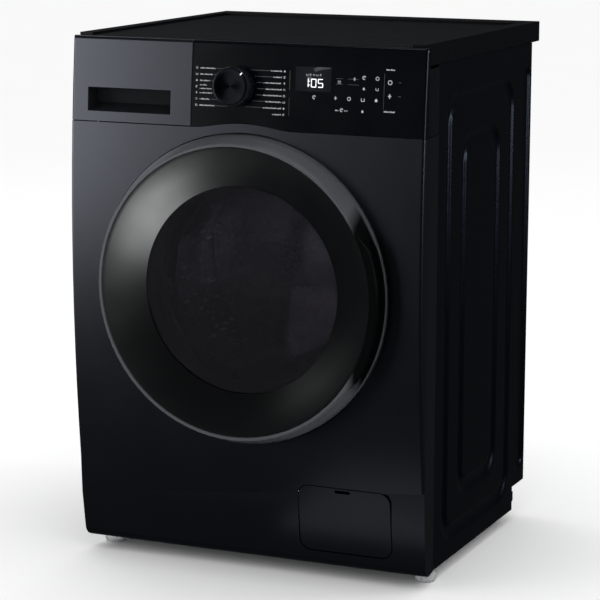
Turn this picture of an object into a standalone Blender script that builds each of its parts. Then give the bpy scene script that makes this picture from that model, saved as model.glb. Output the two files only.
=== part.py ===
"""Freestanding front load washing machine, 600 mm wide and 850 mm high.

Metres, +Z up, +X to the machine's right as seen from the front, front towards -Y.
The origin is on the floor, under the middle of the machine's outer box.
"""
import math

import bmesh
import bpy
from mathutils import Matrix, Vector

# ---- driving dimensions ----------------------------------------------------------------
HALF_WIDTH = 0.2995          # front assembly
SIDE_X = 0.2915              # outer face of the side panels
TOP_X = 0.2925               # outer face of the worktop
HEIGHT = 0.850
REAR_Y = 0.301               # back edge of the worktop
BACK_Y = 0.266               # back edge of the side panels
BOTTOM_Z = 0.0205            # underside of the cabinet
GAP = 0.0003                 # between pieces that touch
REVEAL = 0.0008              # seams that show

# The whole front leans and bows on one large radius about a line along X.
BOW_RADIUS = 3.310
BOW_Z = 0.513
BOW_Y = -0.2672
BOW_STEP = 0.060

FRONT_BACK_Y = -0.186        # back edge of the front's side returns
RETURN_X = 0.2935            # half width of the front at that edge
TAPER_Y = -0.240             # where the returns start to draw in
SEAM_Z = 0.7115              # seam under the control panel
SEAM_ARCH = 0.259            # radius of the seam where it passes over the door
FRONT_TOP_Z = 0.8455
TOP_FILLET = 0.0055
TOP_FRONT_Y = -0.2405        # front edge of the worktop
CORNER_RADIUS = 0.005
PANEL_SHEET = 0.0016
FASCIA_WALL = 0.0025

DRAWER_X = (-HALF_WIDTH, -0.0885)
DRAWER_BACK_Y = -0.217
HANDLE_X = (-0.269, -0.125)
HANDLE_Z = (0.729, 0.765)

KNOB_X, KNOB_Z = -0.012, 0.777
KNOB_RADIUS = 0.0305
KNOB_HEIGHT = 0.024

DOOR_Z = 0.461
DOOR_RADIUS = 0.2435         # where the ring meets the panel
DOOR_RIM_RADIUS = 0.232      # front edge of the ring
DOOR_FRONT_Y = -0.301
WINDOW_RADIUS = 0.164
RECESS_RADIUS = 0.2455
RECESS_Y = -0.231            # front face of the recess floor
MOUTH_RADIUS = 0.187
HINGE_X, HINGE_Y = -0.2240, -0.281
GRIP_ANGLES = (-37.0, 27.0)   # ends of the door's grip, in degrees up from +X
GRIP_FADE = 8.0
HINGE_ARMS = ((-0.0345, -0.0285), (0.0285, 0.0345))

FLAP_X = (0.088, 0.244)
FLAP_Z = (0.047, 0.155)
FLAP_CORNER = 0.018
FLAP_REVEAL = 0.0010
FLAP_THICKNESS = 0.0020
FLAP_AXIS_Z = FLAP_Z[0] + FLAP_CORNER
FLAP_AXIS_DEPTH = 0.0030     # behind the panel's face

FOOT_RADIUS = 0.017
FOOT_PLACES = {"front_left": (-0.276, -0.171), "front_right": (0.276, -0.171),
               "rear_left": (-0.245, 0.219), "rear_right": (0.245, 0.219)}

TUB_RADIUS = 0.268
TUB_FRONT_Y, TUB_SPLIT_Y, TUB_BACK_Y = -0.165, -0.055, 0.190
DRUM_RADIUS = 0.243
DRUM_FRONT_Y, DRUM_BACK_Y = -0.140, 0.150
PULLEY_Y = 0.222
PULLEY_RADIUS = 0.140
MOTOR_X, MOTOR_Z = 0.030, 0.125
MOTOR_PULLEY_RADIUS = 0.010
BELT_THICKNESS = 0.003

ROUND = 32                   # sides of inner round pieces
DRUM_SIDES = 40
ROUND_DOOR = 72              # sides of the door and its opening


# ---- shape helpers ---------------------------------------------------------------------
def clear_scene():
    for old in list(bpy.data.objects):
        bpy.data.objects.remove(old, do_unlink=True)


def material(name, colour, roughness, metallic=0.0):
    mat = bpy.data.materials.new(name)
    mat.use_nodes = True
    shader = mat.node_tree.nodes["Principled BSDF"]
    shader.inputs["Base Color"].default_value = (*colour, 1.0)
    shader.inputs["Roughness"].default_value = roughness
    shader.inputs["Metallic"].default_value = metallic
    return mat


def solid(bm, name="solid"):
    """A bmesh as an object, with its faces turned outwards."""
    bmesh.ops.recalc_face_normals(bm, faces=bm.faces)
    mesh = bpy.data.meshes.new(name)
    bm.to_mesh(mesh)
    bm.free()
    obj = bpy.data.objects.new(name, mesh)
    bpy.context.scene.collection.objects.link(obj)
    return obj


def finish(obj, name, mat, pivot=(0.0, 0.0, 0.0), sharp=32):
    """Name a piece, give it its material and shading, and put its origin on its pivot."""
    obj.name = name
    obj.data.name = name
    obj.data.materials.clear()
    obj.data.materials.append(mat)
    obj.data.shade_smooth()
    obj.data.set_sharp_from_angle(angle=math.radians(sharp))
    obj.data.transform(Matrix.Translation(-Vector(pivot)))
    obj.location = pivot
    return obj


def prism(points, axis, low, high):
    """Extrude a closed outline along an axis. Outline: (y,z) for X, (x,z) for Y, (x,y) for Z."""
    place = {"X": lambda u, v, t: (t, u, v), "Y": lambda u, v, t: (u, t, v), "Z": lambda u, v,
             t: (u, v, t)}[axis]
    bm = bmesh.new()
    ends = [[bm.verts.new(place(u, v, t)) for u, v in points] for t in (low, high)]
    for end in ends:
        bm.faces.new(end)
    for i in range(len(points)):
        j = (i + 1) % len(points)
        bm.faces.new((ends[0][i], ends[0][j], ends[1][j], ends[1][i]))
    return solid(bm)


def block(x, y, z):
    return prism([(x[0], y[0]), (x[1], y[0]), (x[1], y[1]), (x[0], y[1])], "Z", *z)


def turned(profile, centre, axis="Y", segments=ROUND):
    """Turn a closed (radius, along) profile about an axis through centre.

    A point of radius 0 is a pole. The axis is X, Y, Z or a direction vector.
    """
    direction = Vector([float(name == axis) for name in "XYZ"]) if isinstance(axis, str) else axis
    turn = Vector((0, 0, 1)).rotation_difference(direction).to_matrix()
    base = Vector(centre)
    bm = bmesh.new()
    rings = []
    for radius, along in profile:
        if radius == 0.0:
            rings.append([bm.verts.new(base + turn @ Vector((0, 0, along)))])
            continue
        angles = [2 * math.pi * i / segments for i in range(segments)]
        rings.append([bm.verts.new(base + turn @ Vector((radius * math.cos(a), radius * math.sin(a), along)))
                      for a in angles])
    for ring, after in zip(rings, rings[1:] + rings[:1]):
        for i in range(segments):
            j = (i + 1) % segments
            corners = [ring[i % len(ring)], ring[j % len(ring)], after[j % len(after)], after[i % len(after)]]
            corners = list(dict.fromkeys(corners))
            if len(corners) > 2:
                bm.faces.new(corners)
    return solid(bm)


def cylinder(centre, radius, low, high, axis="Y", segments=32):
    return turned([(0.0, low), (radius, low), (radius, high), (0.0, high)], centre, axis, segments)


def ring(centre, inner, outer, low, high, axis="Y", segments=ROUND):
    return turned([(inner, low), (outer, low), (outer, high), (inner, high)], centre, axis, segments)


def combine(base, other, operation):
    """Boolean one solid with another, and use both up."""
    modifier = base.modifiers.new("combine", "BOOLEAN")
    modifier.operation = operation
    modifier.solver = "EXACT"
    modifier.object = other
    bpy.context.view_layer.update()
    evaluated = base.evaluated_get(bpy.context.evaluated_depsgraph_get())
    mesh = bpy.data.meshes.new_from_object(evaluated)
    base.modifiers.clear()
    old = base.data
    base.data = mesh
    bpy.data.meshes.remove(old)
    bpy.data.objects.remove(other, do_unlink=True)
    return base


def cut(base, *cutters):
    for cutter in cutters:
        combine(base, cutter, "DIFFERENCE")
    return base


def join(base, *others):
    for other in others:
        combine(base, other, "UNION")
    return base


def rounded_rectangle(x, z, radius, steps=4):
    """Outline of a rectangle with round corners, counter-clockwise."""
    corners = [(x[1] - radius, z[1] - radius, 0), (x[0] + radius, z[1] - radius, 90),
               (x[0] + radius, z[0] + radius, 180), (x[1] - radius, z[0] + radius, 270)]
    points = []
    for cx, cz, start in corners:
        for i in range(steps + 1):
            angle = math.radians(start + 90 * i / steps)
            points.append((cx + radius * math.cos(angle), cz + radius * math.sin(angle)))
    return points


def bow(z):
    """Depth of the front's outer face at a height."""
    return BOW_Y + BOW_RADIUS - math.sqrt(BOW_RADIUS ** 2 - (z - BOW_Z) ** 2)


def heights(low, high):
    """Heights from low to high at which a bowed face gets an edge."""
    levels = [low]
    while levels[-1] + 1.3 * BOW_STEP < high:
        levels.append(levels[-1] + BOW_STEP)
    return levels + [high]


def seam(x):
    """Height of the seam under the control panel: level, with a smooth arch over the door."""
    arch = DOOR_Z + math.sqrt(max(0.0, SEAM_ARCH ** 2 - x * x))
    blend = 0.003
    return (SEAM_Z + arch + math.hypot(arch - SEAM_Z, blend)) / 2


def below_seam(offset):
    """A solid that fills everything under the seam, shifted up by an offset."""
    points = [(-0.32, -0.01), (0.32, -0.01), (0.32, seam(0.32) + offset)]
    arch_steps = 16
    for i in range(arch_steps + 1):
        x = 0.100 - 0.200 * i / arch_steps
        points.append((x, seam(x) + offset))
    points.append((-0.32, seam(0.32) + offset))
    return prism(points, "Y", -0.40, 0.0)


def bowed_front(z, inset):
    """The bowed face as (y, z) points going up, set in behind the outer face."""
    return [(bow(h) + inset, h) for h in heights(*z)]


def bowed_block(x, z, inset, back_y):
    """A block whose front follows the bow, set in behind it, and whose back is flat."""
    return prism(bowed_front(z, inset) + [(back_y, z[1]), (back_y, z[0])], "X", *x)


def head_block(x, bottom_z, back_y):
    """A block of the control panel's section: rounded top edge, then a step down under the worktop."""
    shelf_z, step_y = 0.8140, TOP_FRONT_Y - 0.0010
    fillet_z = FRONT_TOP_Z - TOP_FILLET
    centre_y = bow(fillet_z) + TOP_FILLET
    points = bowed_front((bottom_z, fillet_z), 0.0)
    for angle in (30, 60, 90):
        a = math.radians(angle)
        points.append((centre_y - TOP_FILLET * math.cos(a), fillet_z + TOP_FILLET * math.sin(a)))
    points += [(step_y, FRONT_TOP_Z), (step_y, shelf_z), (back_y, shelf_z), (back_y, bottom_z)]
    return prism(points, "X", *x)


def taper_returns(obj):
    """Draw the sides of a front piece in towards the back edge of its returns."""
    bm = bmesh.new()
    bm.from_mesh(obj.data)
    everything = bm.verts[:] + bm.edges[:] + bm.faces[:]
    bmesh.ops.bisect_plane(bm, geom=everything, plane_co=(0, TAPER_Y, 0), plane_no=(0, 1, 0))
    for vertex in bm.verts:
        share = max(0.0, (vertex.co.y - TAPER_Y) / (FRONT_BACK_Y - TAPER_Y))
        if abs(vertex.co.x) > RETURN_X - 0.010:
            vertex.co.x -= math.copysign(share * (HALF_WIDTH - RETURN_X), vertex.co.x)
    bm.to_mesh(obj.data)
    bm.free()
    return obj


def round_front_corners(obj, x, radius):
    """Round the front edges that lie at a given distance from the middle."""
    bm = bmesh.new()
    bm.from_mesh(obj.data)
    edges = []
    for edge in bm.edges:
        ends = [v.co for v in edge.verts]
        at_side = all(abs(abs(p.x) - x) < 1e-5 for p in ends) and ends[0].x * ends[1].x > 0
        in_front = all(p.y < TOP_FRONT_Y - 0.0015 and p.y < bow(p.z) + 0.0190 for p in ends)
        upright = abs(ends[0].z - ends[1].z) > 0.3 * abs(ends[0].y - ends[1].y)
        if at_side and in_front and upright:
            edges.append(edge)
    bmesh.ops.bevel(bm, geom=edges, offset=radius, segments=2, affect="EDGES", profile=0.5)
    bmesh.ops.recalc_face_normals(bm, faces=bm.faces)
    bm.to_mesh(obj.data)
    bm.free()
    return obj


# ---- cabinet ---------------------------------------------------------------------------
def front_profile(inset, top_z, back_y):
    """Section of the front panel in (y, z): bowed face, rounded foot, flat underside."""
    radius = 0.0205
    foot_z = BOTTOM_Z + radius
    points = [(back_y, top_z)]
    points += [(bow(h) + inset, h) for h in reversed(heights(foot_z, top_z))]
    centre_y = bow(foot_z) + radius
    for angle in (18, 36, 54, 72, 90):
        a = math.radians(angle)
        points.append((centre_y - (radius - inset) * math.cos(a), foot_z - (radius - inset) * math.sin(a)))
    points.append((back_y, BOTTOM_Z + inset))
    return points


def door_disc(radius, low, high):
    return cylinder((0, 0, DOOR_Z), radius, low, high, segments=ROUND_DOOR)


def make_front_panel(paint):
    """Bowed front sheet with side returns, a cup for the door and a hole for the service flap."""
    tall = 0.7240
    sheet = PANEL_SHEET

    def tall_block(inset, top_z, back_y):
        x = HALF_WIDTH - inset
        body = prism(front_profile(inset, top_z, back_y), "X", -x, x)
        return taper_returns(round_front_corners(body, x, CORNER_RADIUS - inset))

    panel = tall_block(0.0, tall, FRONT_BACK_Y)
    inside = tall_block(sheet, tall + 0.01, FRONT_BACK_Y + 0.02)
    cut(inside, door_disc(RECESS_RADIUS + sheet, BOW_Y - 0.03, RECESS_Y + sheet))
    cut(panel, inside)
    cut(panel, door_disc(RECESS_RADIUS, BOW_Y - 0.03, RECESS_Y))
    cut(panel, cylinder((0, 0, DOOR_Z), MOUTH_RADIUS, BOW_Y, FRONT_BACK_Y, segments=DRUM_SIDES))
    combine(panel, below_seam(-REVEAL / 2), "INTERSECT")
    reveal = FLAP_REVEAL
    hole_x = (FLAP_X[0] - reveal, FLAP_X[1] + reveal)
    hole_z = (FLAP_Z[0] - reveal, FLAP_Z[1] + reveal)
    cut(panel, prism(rounded_rectangle(hole_x, hole_z, FLAP_CORNER + reveal), "Y", BOW_Y - 0.03,
                     FRONT_BACK_Y - 0.02))
    lock_slot = block((0.2015, 0.2115), (RECESS_Y - 0.002, RECESS_Y + 0.004),
                      (DOOR_Z - 0.016, DOOR_Z + 0.016))
    cut(panel, lock_slot)
    return finish(panel, "front_panel", paint)


def make_control_panel(plastic):
    """Moulded control panel: glossy face on the right, drawer frame on the left, side returns."""
    wall = FASCIA_WALL
    bottom_z = SEAM_Z - 0.002
    panel = head_block((-HALF_WIDTH, HALF_WIDTH), bottom_z, FRONT_BACK_Y)
    panel = taper_returns(round_front_corners(panel, HALF_WIDTH, CORNER_RADIUS))
    bay_x = DRAWER_X[1] + REVEAL
    right = bowed_block((bay_x + wall, HALF_WIDTH - wall), (SEAM_Z + wall + 0.012, 0.8140 - wall), wall,
                        FRONT_BACK_Y + 0.01)
    cut(panel, taper_returns(right))
    left = block((-HALF_WIDTH + wall, bay_x + wall + 0.002), (DRAWER_BACK_Y + wall, FRONT_BACK_Y + 0.01),
                 (SEAM_Z + wall, 0.8140 - wall))
    cut(panel, taper_returns(left))
    cut(panel, block((-0.33, bay_x), (-0.30, DRAWER_BACK_Y + GAP), (0.70, 0.86)))
    cut(panel, block((-0.2750, -0.0995), (-0.23, -0.20), (0.7345, 0.7950)))
    cut(panel, below_seam(REVEAL / 2))
    cut(panel, cylinder((KNOB_X, bow(KNOB_Z), KNOB_Z), 0.0060, -0.02, 0.02, knob_axis(), 16))
    return finish(panel, "control_panel", plastic)


def pressed_sheet(outline, grooves, recess, depth, flange):
    """Side panel skin in (y, z): a flat sheet at x=0, pressed towards -x, with an edge flange."""
    bm = bmesh.new()

    def loop(points, x):
        return [bm.verts.new((x, y, z)) for y, z in points]

    def edges_of(verts):
        pairs = zip(verts, verts[1:] + verts[:1])
        return [bm.edges.get(pair) or bm.edges.new(pair) for pair in pairs]

    def bridge(first, second):
        for i in range(len(first)):
            j = (i + 1) % len(first)
            bm.faces.new((first[i], first[j], second[j], second[i]))

    border = loop(outline, 0.0)
    holes = []
    inner_end = None
    for box, radius, width in grooves:
        rings = []
        for inset, x in ((0.0, 0.0), (0.005, -depth), (width - 0.005, -depth), (width, 0.0)):
            y = (box[0] + inset, box[1] - inset)
            z = (box[2] + inset, box[3] - inset)
            rings.append(loop(rounded_rectangle(y, z, max(0.012, radius - inset)), x))
        if inner_end:
            bridge(inner_end, rings[0])
        else:
            holes.append(rings[0])
        for first, second in zip(rings, rings[1:]):
            bridge(first, second)
        inner_end = rings[-1]
    bm.faces.new(inner_end)
    y, z, radius = recess
    rim = loop(rounded_rectangle(y, z, radius), 0.0)
    floor = loop(rounded_rectangle((y[0] + 0.005, y[1] - 0.003), (z[0] + 0.018, z[1] - 0.018),
                                   radius - 0.006), -depth)
    bridge(rim, floor)
    bm.faces.new(floor)
    holes.append(rim)
    edges = edges_of(border)
    for hole in holes:
        edges += edges_of(hole)
    bmesh.ops.triangle_fill(bm, use_beauty=True, use_dissolve=False, edges=edges)
    bridge(border, loop(outline, -flange))
    return bm


def make_side_panel(side, paint):
    low_y, low_z, high_z = FRONT_BACK_Y + 0.0010, BOTTOM_Z, 0.8165
    notch_y, notch_z = 0.206, 0.061
    outline = [(low_y, low_z), (notch_y, low_z), (notch_y, notch_z), (BACK_Y, notch_z), (BACK_Y, high_z),
               (low_y, high_z)]
    outer_groove = ((-0.148, 0.180, 0.048, 0.768), 0.052, 0.028)
    inner_groove = ((-0.078, 0.112, 0.110, 0.700), 0.048, 0.028)
    rear_recess = ((0.2155, 0.2615), (0.085, 0.780), 0.020)
    panel = solid(pressed_sheet(outline, (outer_groove, inner_groove), rear_recess, 0.0040, 0.008))
    if max(panel.data.polygons, key=lambda face: face.area).normal.x < 0:
        panel.data.flip_normals()
    modifier = panel.modifiers.new("sheet", "SOLIDIFY")
    modifier.thickness = 0.0010
    modifier.offset = -1.0
    modifier.use_even_offset = True
    bpy.context.view_layer.update()
    mesh = bpy.data.meshes.new_from_object(panel.evaluated_get(bpy.context.evaluated_depsgraph_get()))
    panel.modifiers.clear()
    panel.data = mesh
    panel.data.transform(Matrix.Translation((SIDE_X, 0, 0)))
    if side < 0:
        panel.data.transform(Matrix.Scale(-1, 4, (1, 0, 0)))
        panel.data.flip_normals()
    return finish(panel, "right_side_panel" if side > 0 else "left_side_panel", paint)


def make_back_panel(paint):
    y = (BACK_Y + GAP, BACK_Y + 0.0013)
    panel = block((-0.2875, 0.2875), y, (0.063, 0.8150))
    cover = turned([(0.0, 0.0), (0.165, 0.0), (0.150, 0.014), (0.0, 0.014)], (0, y[1] - 0.0004, 0.400),
                   segments=32)
    hollow = turned([(0.0, -0.01), (0.1645, -0.01), (0.1635, 0.0), (0.1487, 0.0130), (0.0, 0.0130)],
                    (0, y[1] - 0.0014, 0.400), segments=32)
    join(panel, cover)
    cut(panel, hollow)
    for place, radius in (((-0.205, 0.770), 0.0165), ((0.215, 0.735), 0.0155), ((0.215, 0.640), 0.0115)):
        cut(panel, cylinder((place[0], 0, place[1]), radius, y[0] - 0.01, y[1] + 0.01, segments=16))
    return finish(panel, "back_panel", paint)


def make_base_tray(plastic):
    """Floor tray between the side panels, with four corner pads that take the feet."""
    x, y = 0.2780, (FRONT_BACK_Y + 0.0015, BACK_Y - 0.014)
    tray = block((-x, x), y, (BOTTOM_Z + 0.0015, BOTTOM_Z + 0.020))
    cut(tray, block((-x + 0.028, x - 0.028), (y[0] + 0.012, y[1] - 0.028), (BOTTOM_Z + 0.004, 0.060)))
    cut(tray, block((-0.150, 0.150), (y[0] + 0.040, y[1] - 0.060), (0.0, 0.060)))
    for name, (fx, fy) in FOOT_PLACES.items():
        if name.startswith("front"):
            pad = block((min(fx, fx * 0.85), max(fx, fx * 0.85)), (fy - 0.008, y[0] + 0.010),
                        (BOTTOM_Z + 0.0035, BOTTOM_Z + 0.0150))
            shoulder = 0.2885
            pad_x = (fx - 0.010, shoulder) if fx > 0 else (-shoulder, fx + 0.010)
            join(tray, pad, block(pad_x, (fy - 0.008, fy + 0.008), (BOTTOM_Z + 0.0036, BOTTOM_Z + 0.0149)))
    for fx, fy in FOOT_PLACES.values():
        cut(tray, cylinder((fx, fy, 0), 0.0056, 0.0, 0.06, "Z", 16))
    for side in (-1, 1):
        cut(tray, block(sorted((side * 0.230, side * 0.290)), (0.190, 0.27), (0.0, 0.0235)))
    return finish(tray, "base_tray", plastic)


def make_foot(name, place, plastic):
    """Levelling foot: eight-sided pad with a waist, and its threaded stem."""
    centre = (place[0], place[1], 0.0)
    pad = turned([(0.0, 0.0), (0.0150, 0.0), (FOOT_RADIUS, 0.004), (FOOT_RADIUS, 0.012), (0.0125, 0.0160),
                  (0.0125, 0.0190), (0.0, 0.0190)], centre, "Z", 16)
    stem = cylinder(centre, 0.0050, 0.017, 0.0390, "Z", 8)
    return finish(join(pad, stem), "foot_" + name, plastic, centre)


def make_worktop(frame_paint, board_paint):
    z = (0.8170, HEIGHT)
    board_z = 0.8460
    ledge_z = board_z - 0.0060
    rim, back_rim = 0.0225, 0.050
    frame = block((-TOP_X, TOP_X), (TOP_FRONT_Y, REAR_Y), z)
    well = block((-TOP_X + rim, TOP_X - rim), (TOP_FRONT_Y - 0.01, REAR_Y - back_rim), (ledge_z, z[1] + 0.01))
    underside = block((-TOP_X + 0.004, TOP_X - 0.004), (TOP_FRONT_Y + 0.004, REAR_Y - 0.004),
                      (z[0] - 0.01, ledge_z - 0.004))
    window = block((-0.245, 0.245), (TOP_FRONT_Y + 0.030, REAR_Y - 0.080), (z[0], z[1]))
    cut(frame, well, underside, window)
    finish(frame, "worktop_frame", frame_paint)
    board = block((-TOP_X + rim + REVEAL / 2, TOP_X - rim - REVEAL / 2),
                  (TOP_FRONT_Y + 0.0005, REAR_Y - back_rim - REVEAL / 2), (ledge_z + GAP, board_z))
    return finish(board, "worktop_board", board_paint)


def make_crossbar(name, y, z, steel):
    """Channel between the two side panels, under the worktop."""
    x = 0.2780
    bar = block((-x, x), y, z)
    cut(bar, block((-x - 0.01, x + 0.01), (y[0] + 0.0015, y[1] - 0.0015), (z[0] + 0.0015, z[1] + 0.01)))
    return finish(bar, name, steel)


# ---- controls --------------------------------------------------------------------------
def knob_axis():
    """Outward normal of the control panel at the knob."""
    slope = (KNOB_Z - BOW_Z) / math.sqrt(BOW_RADIUS ** 2 - (KNOB_Z - BOW_Z) ** 2)
    return Vector((0, -1, slope)).normalized()


def make_knob(plastic):
    centre = (KNOB_X, bow(KNOB_Z), KNOB_Z)
    radius, height = KNOB_RADIUS, KNOB_HEIGHT
    profile = [(0.0, height - 0.0030), (radius - 0.0090, height - 0.0030), (radius - 0.0045, height - 0.0012),
               (radius - 0.0030, height), (radius - 0.0012, height), (radius, height - 0.0016),
               (radius, 0.0012), (radius - 0.002, 0.0006), (0.0050, 0.0006), (0.0050, -0.0120),
               (0.0, -0.0120)]
    return finish(turned(profile, centre, knob_axis(), 36), "programme_knob", plastic, centre)


def make_encoder(plastic):
    """Rotary switch body behind the panel, around the knob's stem."""
    centre = (KNOB_X, bow(KNOB_Z), KNOB_Z)
    return finish(ring(centre, 0.0056, 0.0140, -0.0115, -0.0029, knob_axis(), 16), "knob_encoder", plastic)


def make_control_board(board):
    """Control electronics in their tray behind the glossy face."""
    plate = block((0.040, 0.286), (-0.2360, -0.2200), (0.730, 0.806))
    cut(plate, block((0.043, 0.283), (-0.2340, -0.21), (0.733, 0.803)))
    return finish(plate, "control_board", board)


def make_drawer(front_paint, tray_plastic, insert_plastic):
    """Detergent drawer: front with its handle pocket, tray with three bays, softener insert."""
    x = DRAWER_X
    front = head_block(x, SEAM_Z - 0.002, DRAWER_BACK_Y)
    front = taper_returns(round_front_corners(front, HALF_WIDTH, CORNER_RADIUS))
    cut(front, below_seam(REVEAL / 2))
    pocket = [(-0.300, HANDLE_Z[0]), (-0.2500, HANDLE_Z[0]), (-0.2260, HANDLE_Z[0] + 0.010),
              (-0.2260, HANDLE_Z[1] - 0.002), (-0.2400, HANDLE_Z[1] + 0.004), (-0.2505, HANDLE_Z[1]),
              (-0.300, HANDLE_Z[1])]
    cut(front, prism(pocket, "X", *HANDLE_X))
    finish(front, "drawer_front", front_paint)

    tray_x, tray_y, tray_z = (-0.2740, -0.1005), (DRAWER_BACK_Y + GAP, 0.005), (0.7355, 0.7930)
    wall = 0.002
    tray = block(tray_x, tray_y, tray_z)
    first, second = -0.2160, -0.1580
    bays = [(tray_x[0] + wall, first - wall / 2), (first + wall / 2, second - wall / 2),
            (second + wall / 2, tray_x[1] - wall)]
    for bay in bays:
        cut(tray, block(bay, (tray_y[0] + 0.004, tray_y[1] - wall), (tray_z[0] + wall, 0.85)))
    finish(tray, "drawer_tray", tray_plastic)

    bay = bays[2]
    insert = block((bay[0] + 0.0005, bay[1] - 0.0005), (tray_y[0] + 0.080, tray_y[1] - 0.0200),
                   (tray_z[0] + 0.030, tray_z[1] + 0.001))
    cut(insert, block((bay[0] + 0.002, bay[1] - 0.002), (tray_y[0] + 0.082, tray_y[1] - 0.022),
                      (0.0, tray_z[1] - 0.0005)))
    cut(insert, cylinder(((bay[0] + bay[1]) / 2, tray_y[0] + 0.125, 0), 0.008, 0.70, 0.90, "Z", 24))
    return finish(insert, "softener_insert", insert_plastic)


def make_dispenser_housing(plastic):
    """Box behind the panel that the drawer slides into, closed by its water lid."""
    x, y, z = (-0.2790, -0.0950), (DRAWER_BACK_Y + 0.0036, 0.030), (0.7300, 0.8005)
    housing = block(x, y, z)
    cut(housing, block((x[0] + 0.002, x[1] - 0.002), (y[0] - 0.01, y[1] - 0.002),
                       (z[0] + 0.002, z[1] - 0.0020)))
    return finish(housing, "dispenser_housing", plastic)


def make_inlet_valve(plastic):
    """Water inlet: threaded spigot through the back, valve body inside."""
    centre = (-0.205, 0, 0.770)
    spigot = turned([(0.0080, 0.215), (0.0130, 0.215), (0.0130, 0.2600), (0.0155, 0.2600), (0.0155, 0.2665),
                     (0.0130, 0.2665), (0.0130, 0.2930), (0.0080, 0.2930)], centre, segments=20)
    body = block((-0.225, -0.185), (0.1700, 0.2165), (0.750, 0.790))
    return finish(join(spigot, body), "inlet_valve", plastic)


def make_drain_outlet(plastic):
    centre = (0.215, 0, 0.735)
    spigot = turned([(0.0100, 0.235), (0.0125, 0.235), (0.0125, 0.2600), (0.0145, 0.2600), (0.0145, 0.2670),
                     (0.0125, 0.2670), (0.0125, 0.2900), (0.0100, 0.2900)], centre, segments=16)
    return finish(spigot, "drain_outlet", plastic)


def make_mains_gland(plastic):
    """Cable entry in the back, with no cord in it."""
    centre = (0.215, 0, 0.640)
    gland = turned([(0.0045, 0.2560), (0.0105, 0.2560), (0.0105, 0.2680), (0.0130, 0.2680), (0.0120, 0.2760),
                    (0.0070, 0.2820), (0.0045, 0.2820)], centre, segments=16)
    return finish(gland, "mains_gland", plastic)


# ---- door ------------------------------------------------------------------------------
def smooth_step(value):
    t = min(1.0, max(0.0, value))
    return t * t * (3.0 - 2.0 * t)


def ring_section(angle):
    """Section of the door ring as (radius, y) points, at an angle in degrees up from +X.

    Between GRIP_ANGLES the flank is hollowed behind a wider rim, as a grip.
    """
    back, edge, front, rim = RECESS_Y - 0.018, BOW_Y - 0.0025, DOOR_FRONT_Y, DOOR_RIM_RADIUS
    plain = [(DOOR_RADIUS - 0.0008, back), (DOOR_RADIUS, edge), (rim + 0.0082, edge - 0.0092),
             (rim + 0.0038, front + 0.0092),
             (rim + 0.0020, front + 0.0040), (rim, front), (rim - 0.0040, front),
             (rim - 0.0050, front + 0.0040),
             (rim - 0.0050, back)]
    grip = [(DOOR_RADIUS - 0.0008, back), (DOOR_RADIUS, edge), (rim + 0.0034, edge + 0.0006),
            (rim, front + 0.0072),
            (rim + 0.0092, front + 0.0048), (rim + 0.0072, front + 0.0004), (rim - 0.0040, front),
            (rim - 0.0050, front + 0.0040), (rim - 0.0050, back)]
    angle = (angle + 180.0) % 360.0 - 180.0
    weight = min(smooth_step((angle - GRIP_ANGLES[0]) / GRIP_FADE),
                 smooth_step((GRIP_ANGLES[1] - angle) / GRIP_FADE))
    return [Vector(a).lerp(Vector(b), weight) for a, b in zip(plain, grip)]


def make_door_ring(plastic):
    """Outer ring of the door, with its grip on the right and the hinge pocket on the left."""
    bm = bmesh.new()
    rings = []
    for index in range(ROUND_DOOR):
        angle = 360.0 * index / ROUND_DOOR
        a = math.radians(angle)
        rings.append([bm.verts.new((r * math.cos(a), y, DOOR_Z + r * math.sin(a))) for r,
                      y in ring_section(angle)])
    for here, there in zip(rings, rings[1:] + rings[:1]):
        for i in range(len(here)):
            j = (i + 1) % len(here)
            bm.faces.new((here[i], here[j], there[j], there[i]))
    body = solid(bm)
    y_open = RECESS_Y
    cut(body, block((-0.2320, -0.2100), (HINGE_Y - 0.0080, y_open), (DOOR_Z - 0.0352, DOOR_Z + 0.0352)))
    for low, high in HINGE_ARMS:
        z = (DOOR_Z + low - 0.0010, DOOR_Z + high + 0.0010)
        cut(body, block((-0.2500, -0.2110), (HINGE_Y - 0.0068, y_open + 0.002), z))
    return finish(body, "door_ring", plastic, (HINGE_X, HINGE_Y, DOOR_Z))


def make_door_cover(glass):
    """Dark cover in front of the bowl: a shallow dish from the rim in to the flat window."""
    edge, front = DOOR_RIM_RADIUS - 0.0053, DOOR_FRONT_Y + 0.0015
    profile = [(0.0, front + 0.0080), (WINDOW_RADIUS, front + 0.0080), (edge, front), (edge, front + 0.0040),
               (WINDOW_RADIUS, front + 0.0120), (0.0, front + 0.0120)]
    return finish(turned(profile, (0, 0, DOOR_Z), segments=ROUND_DOOR), "door_cover", glass,
                  (HINGE_X, HINGE_Y, DOOR_Z))


def make_door_bowl(glass):
    """Thick glass bowl that reaches back into the gasket."""
    outer = [(0.1750, -0.2660), (0.1750, -0.2570), (0.1670, -0.2430), (0.1650, -0.2060), (0.1520, -0.1710),
             (0.1330, -0.1440),
             (0.0, -0.1340)]
    inner = [(0.0, -0.1390), (0.1290, -0.1485), (0.1470, -0.1730), (0.1600, -0.2070), (0.1620, -0.2660)]
    return finish(turned(outer + inner, (0, 0, DOOR_Z), segments=DRUM_SIDES), "door_bowl", glass,
                  (HINGE_X, HINGE_Y, DOOR_Z))


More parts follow.
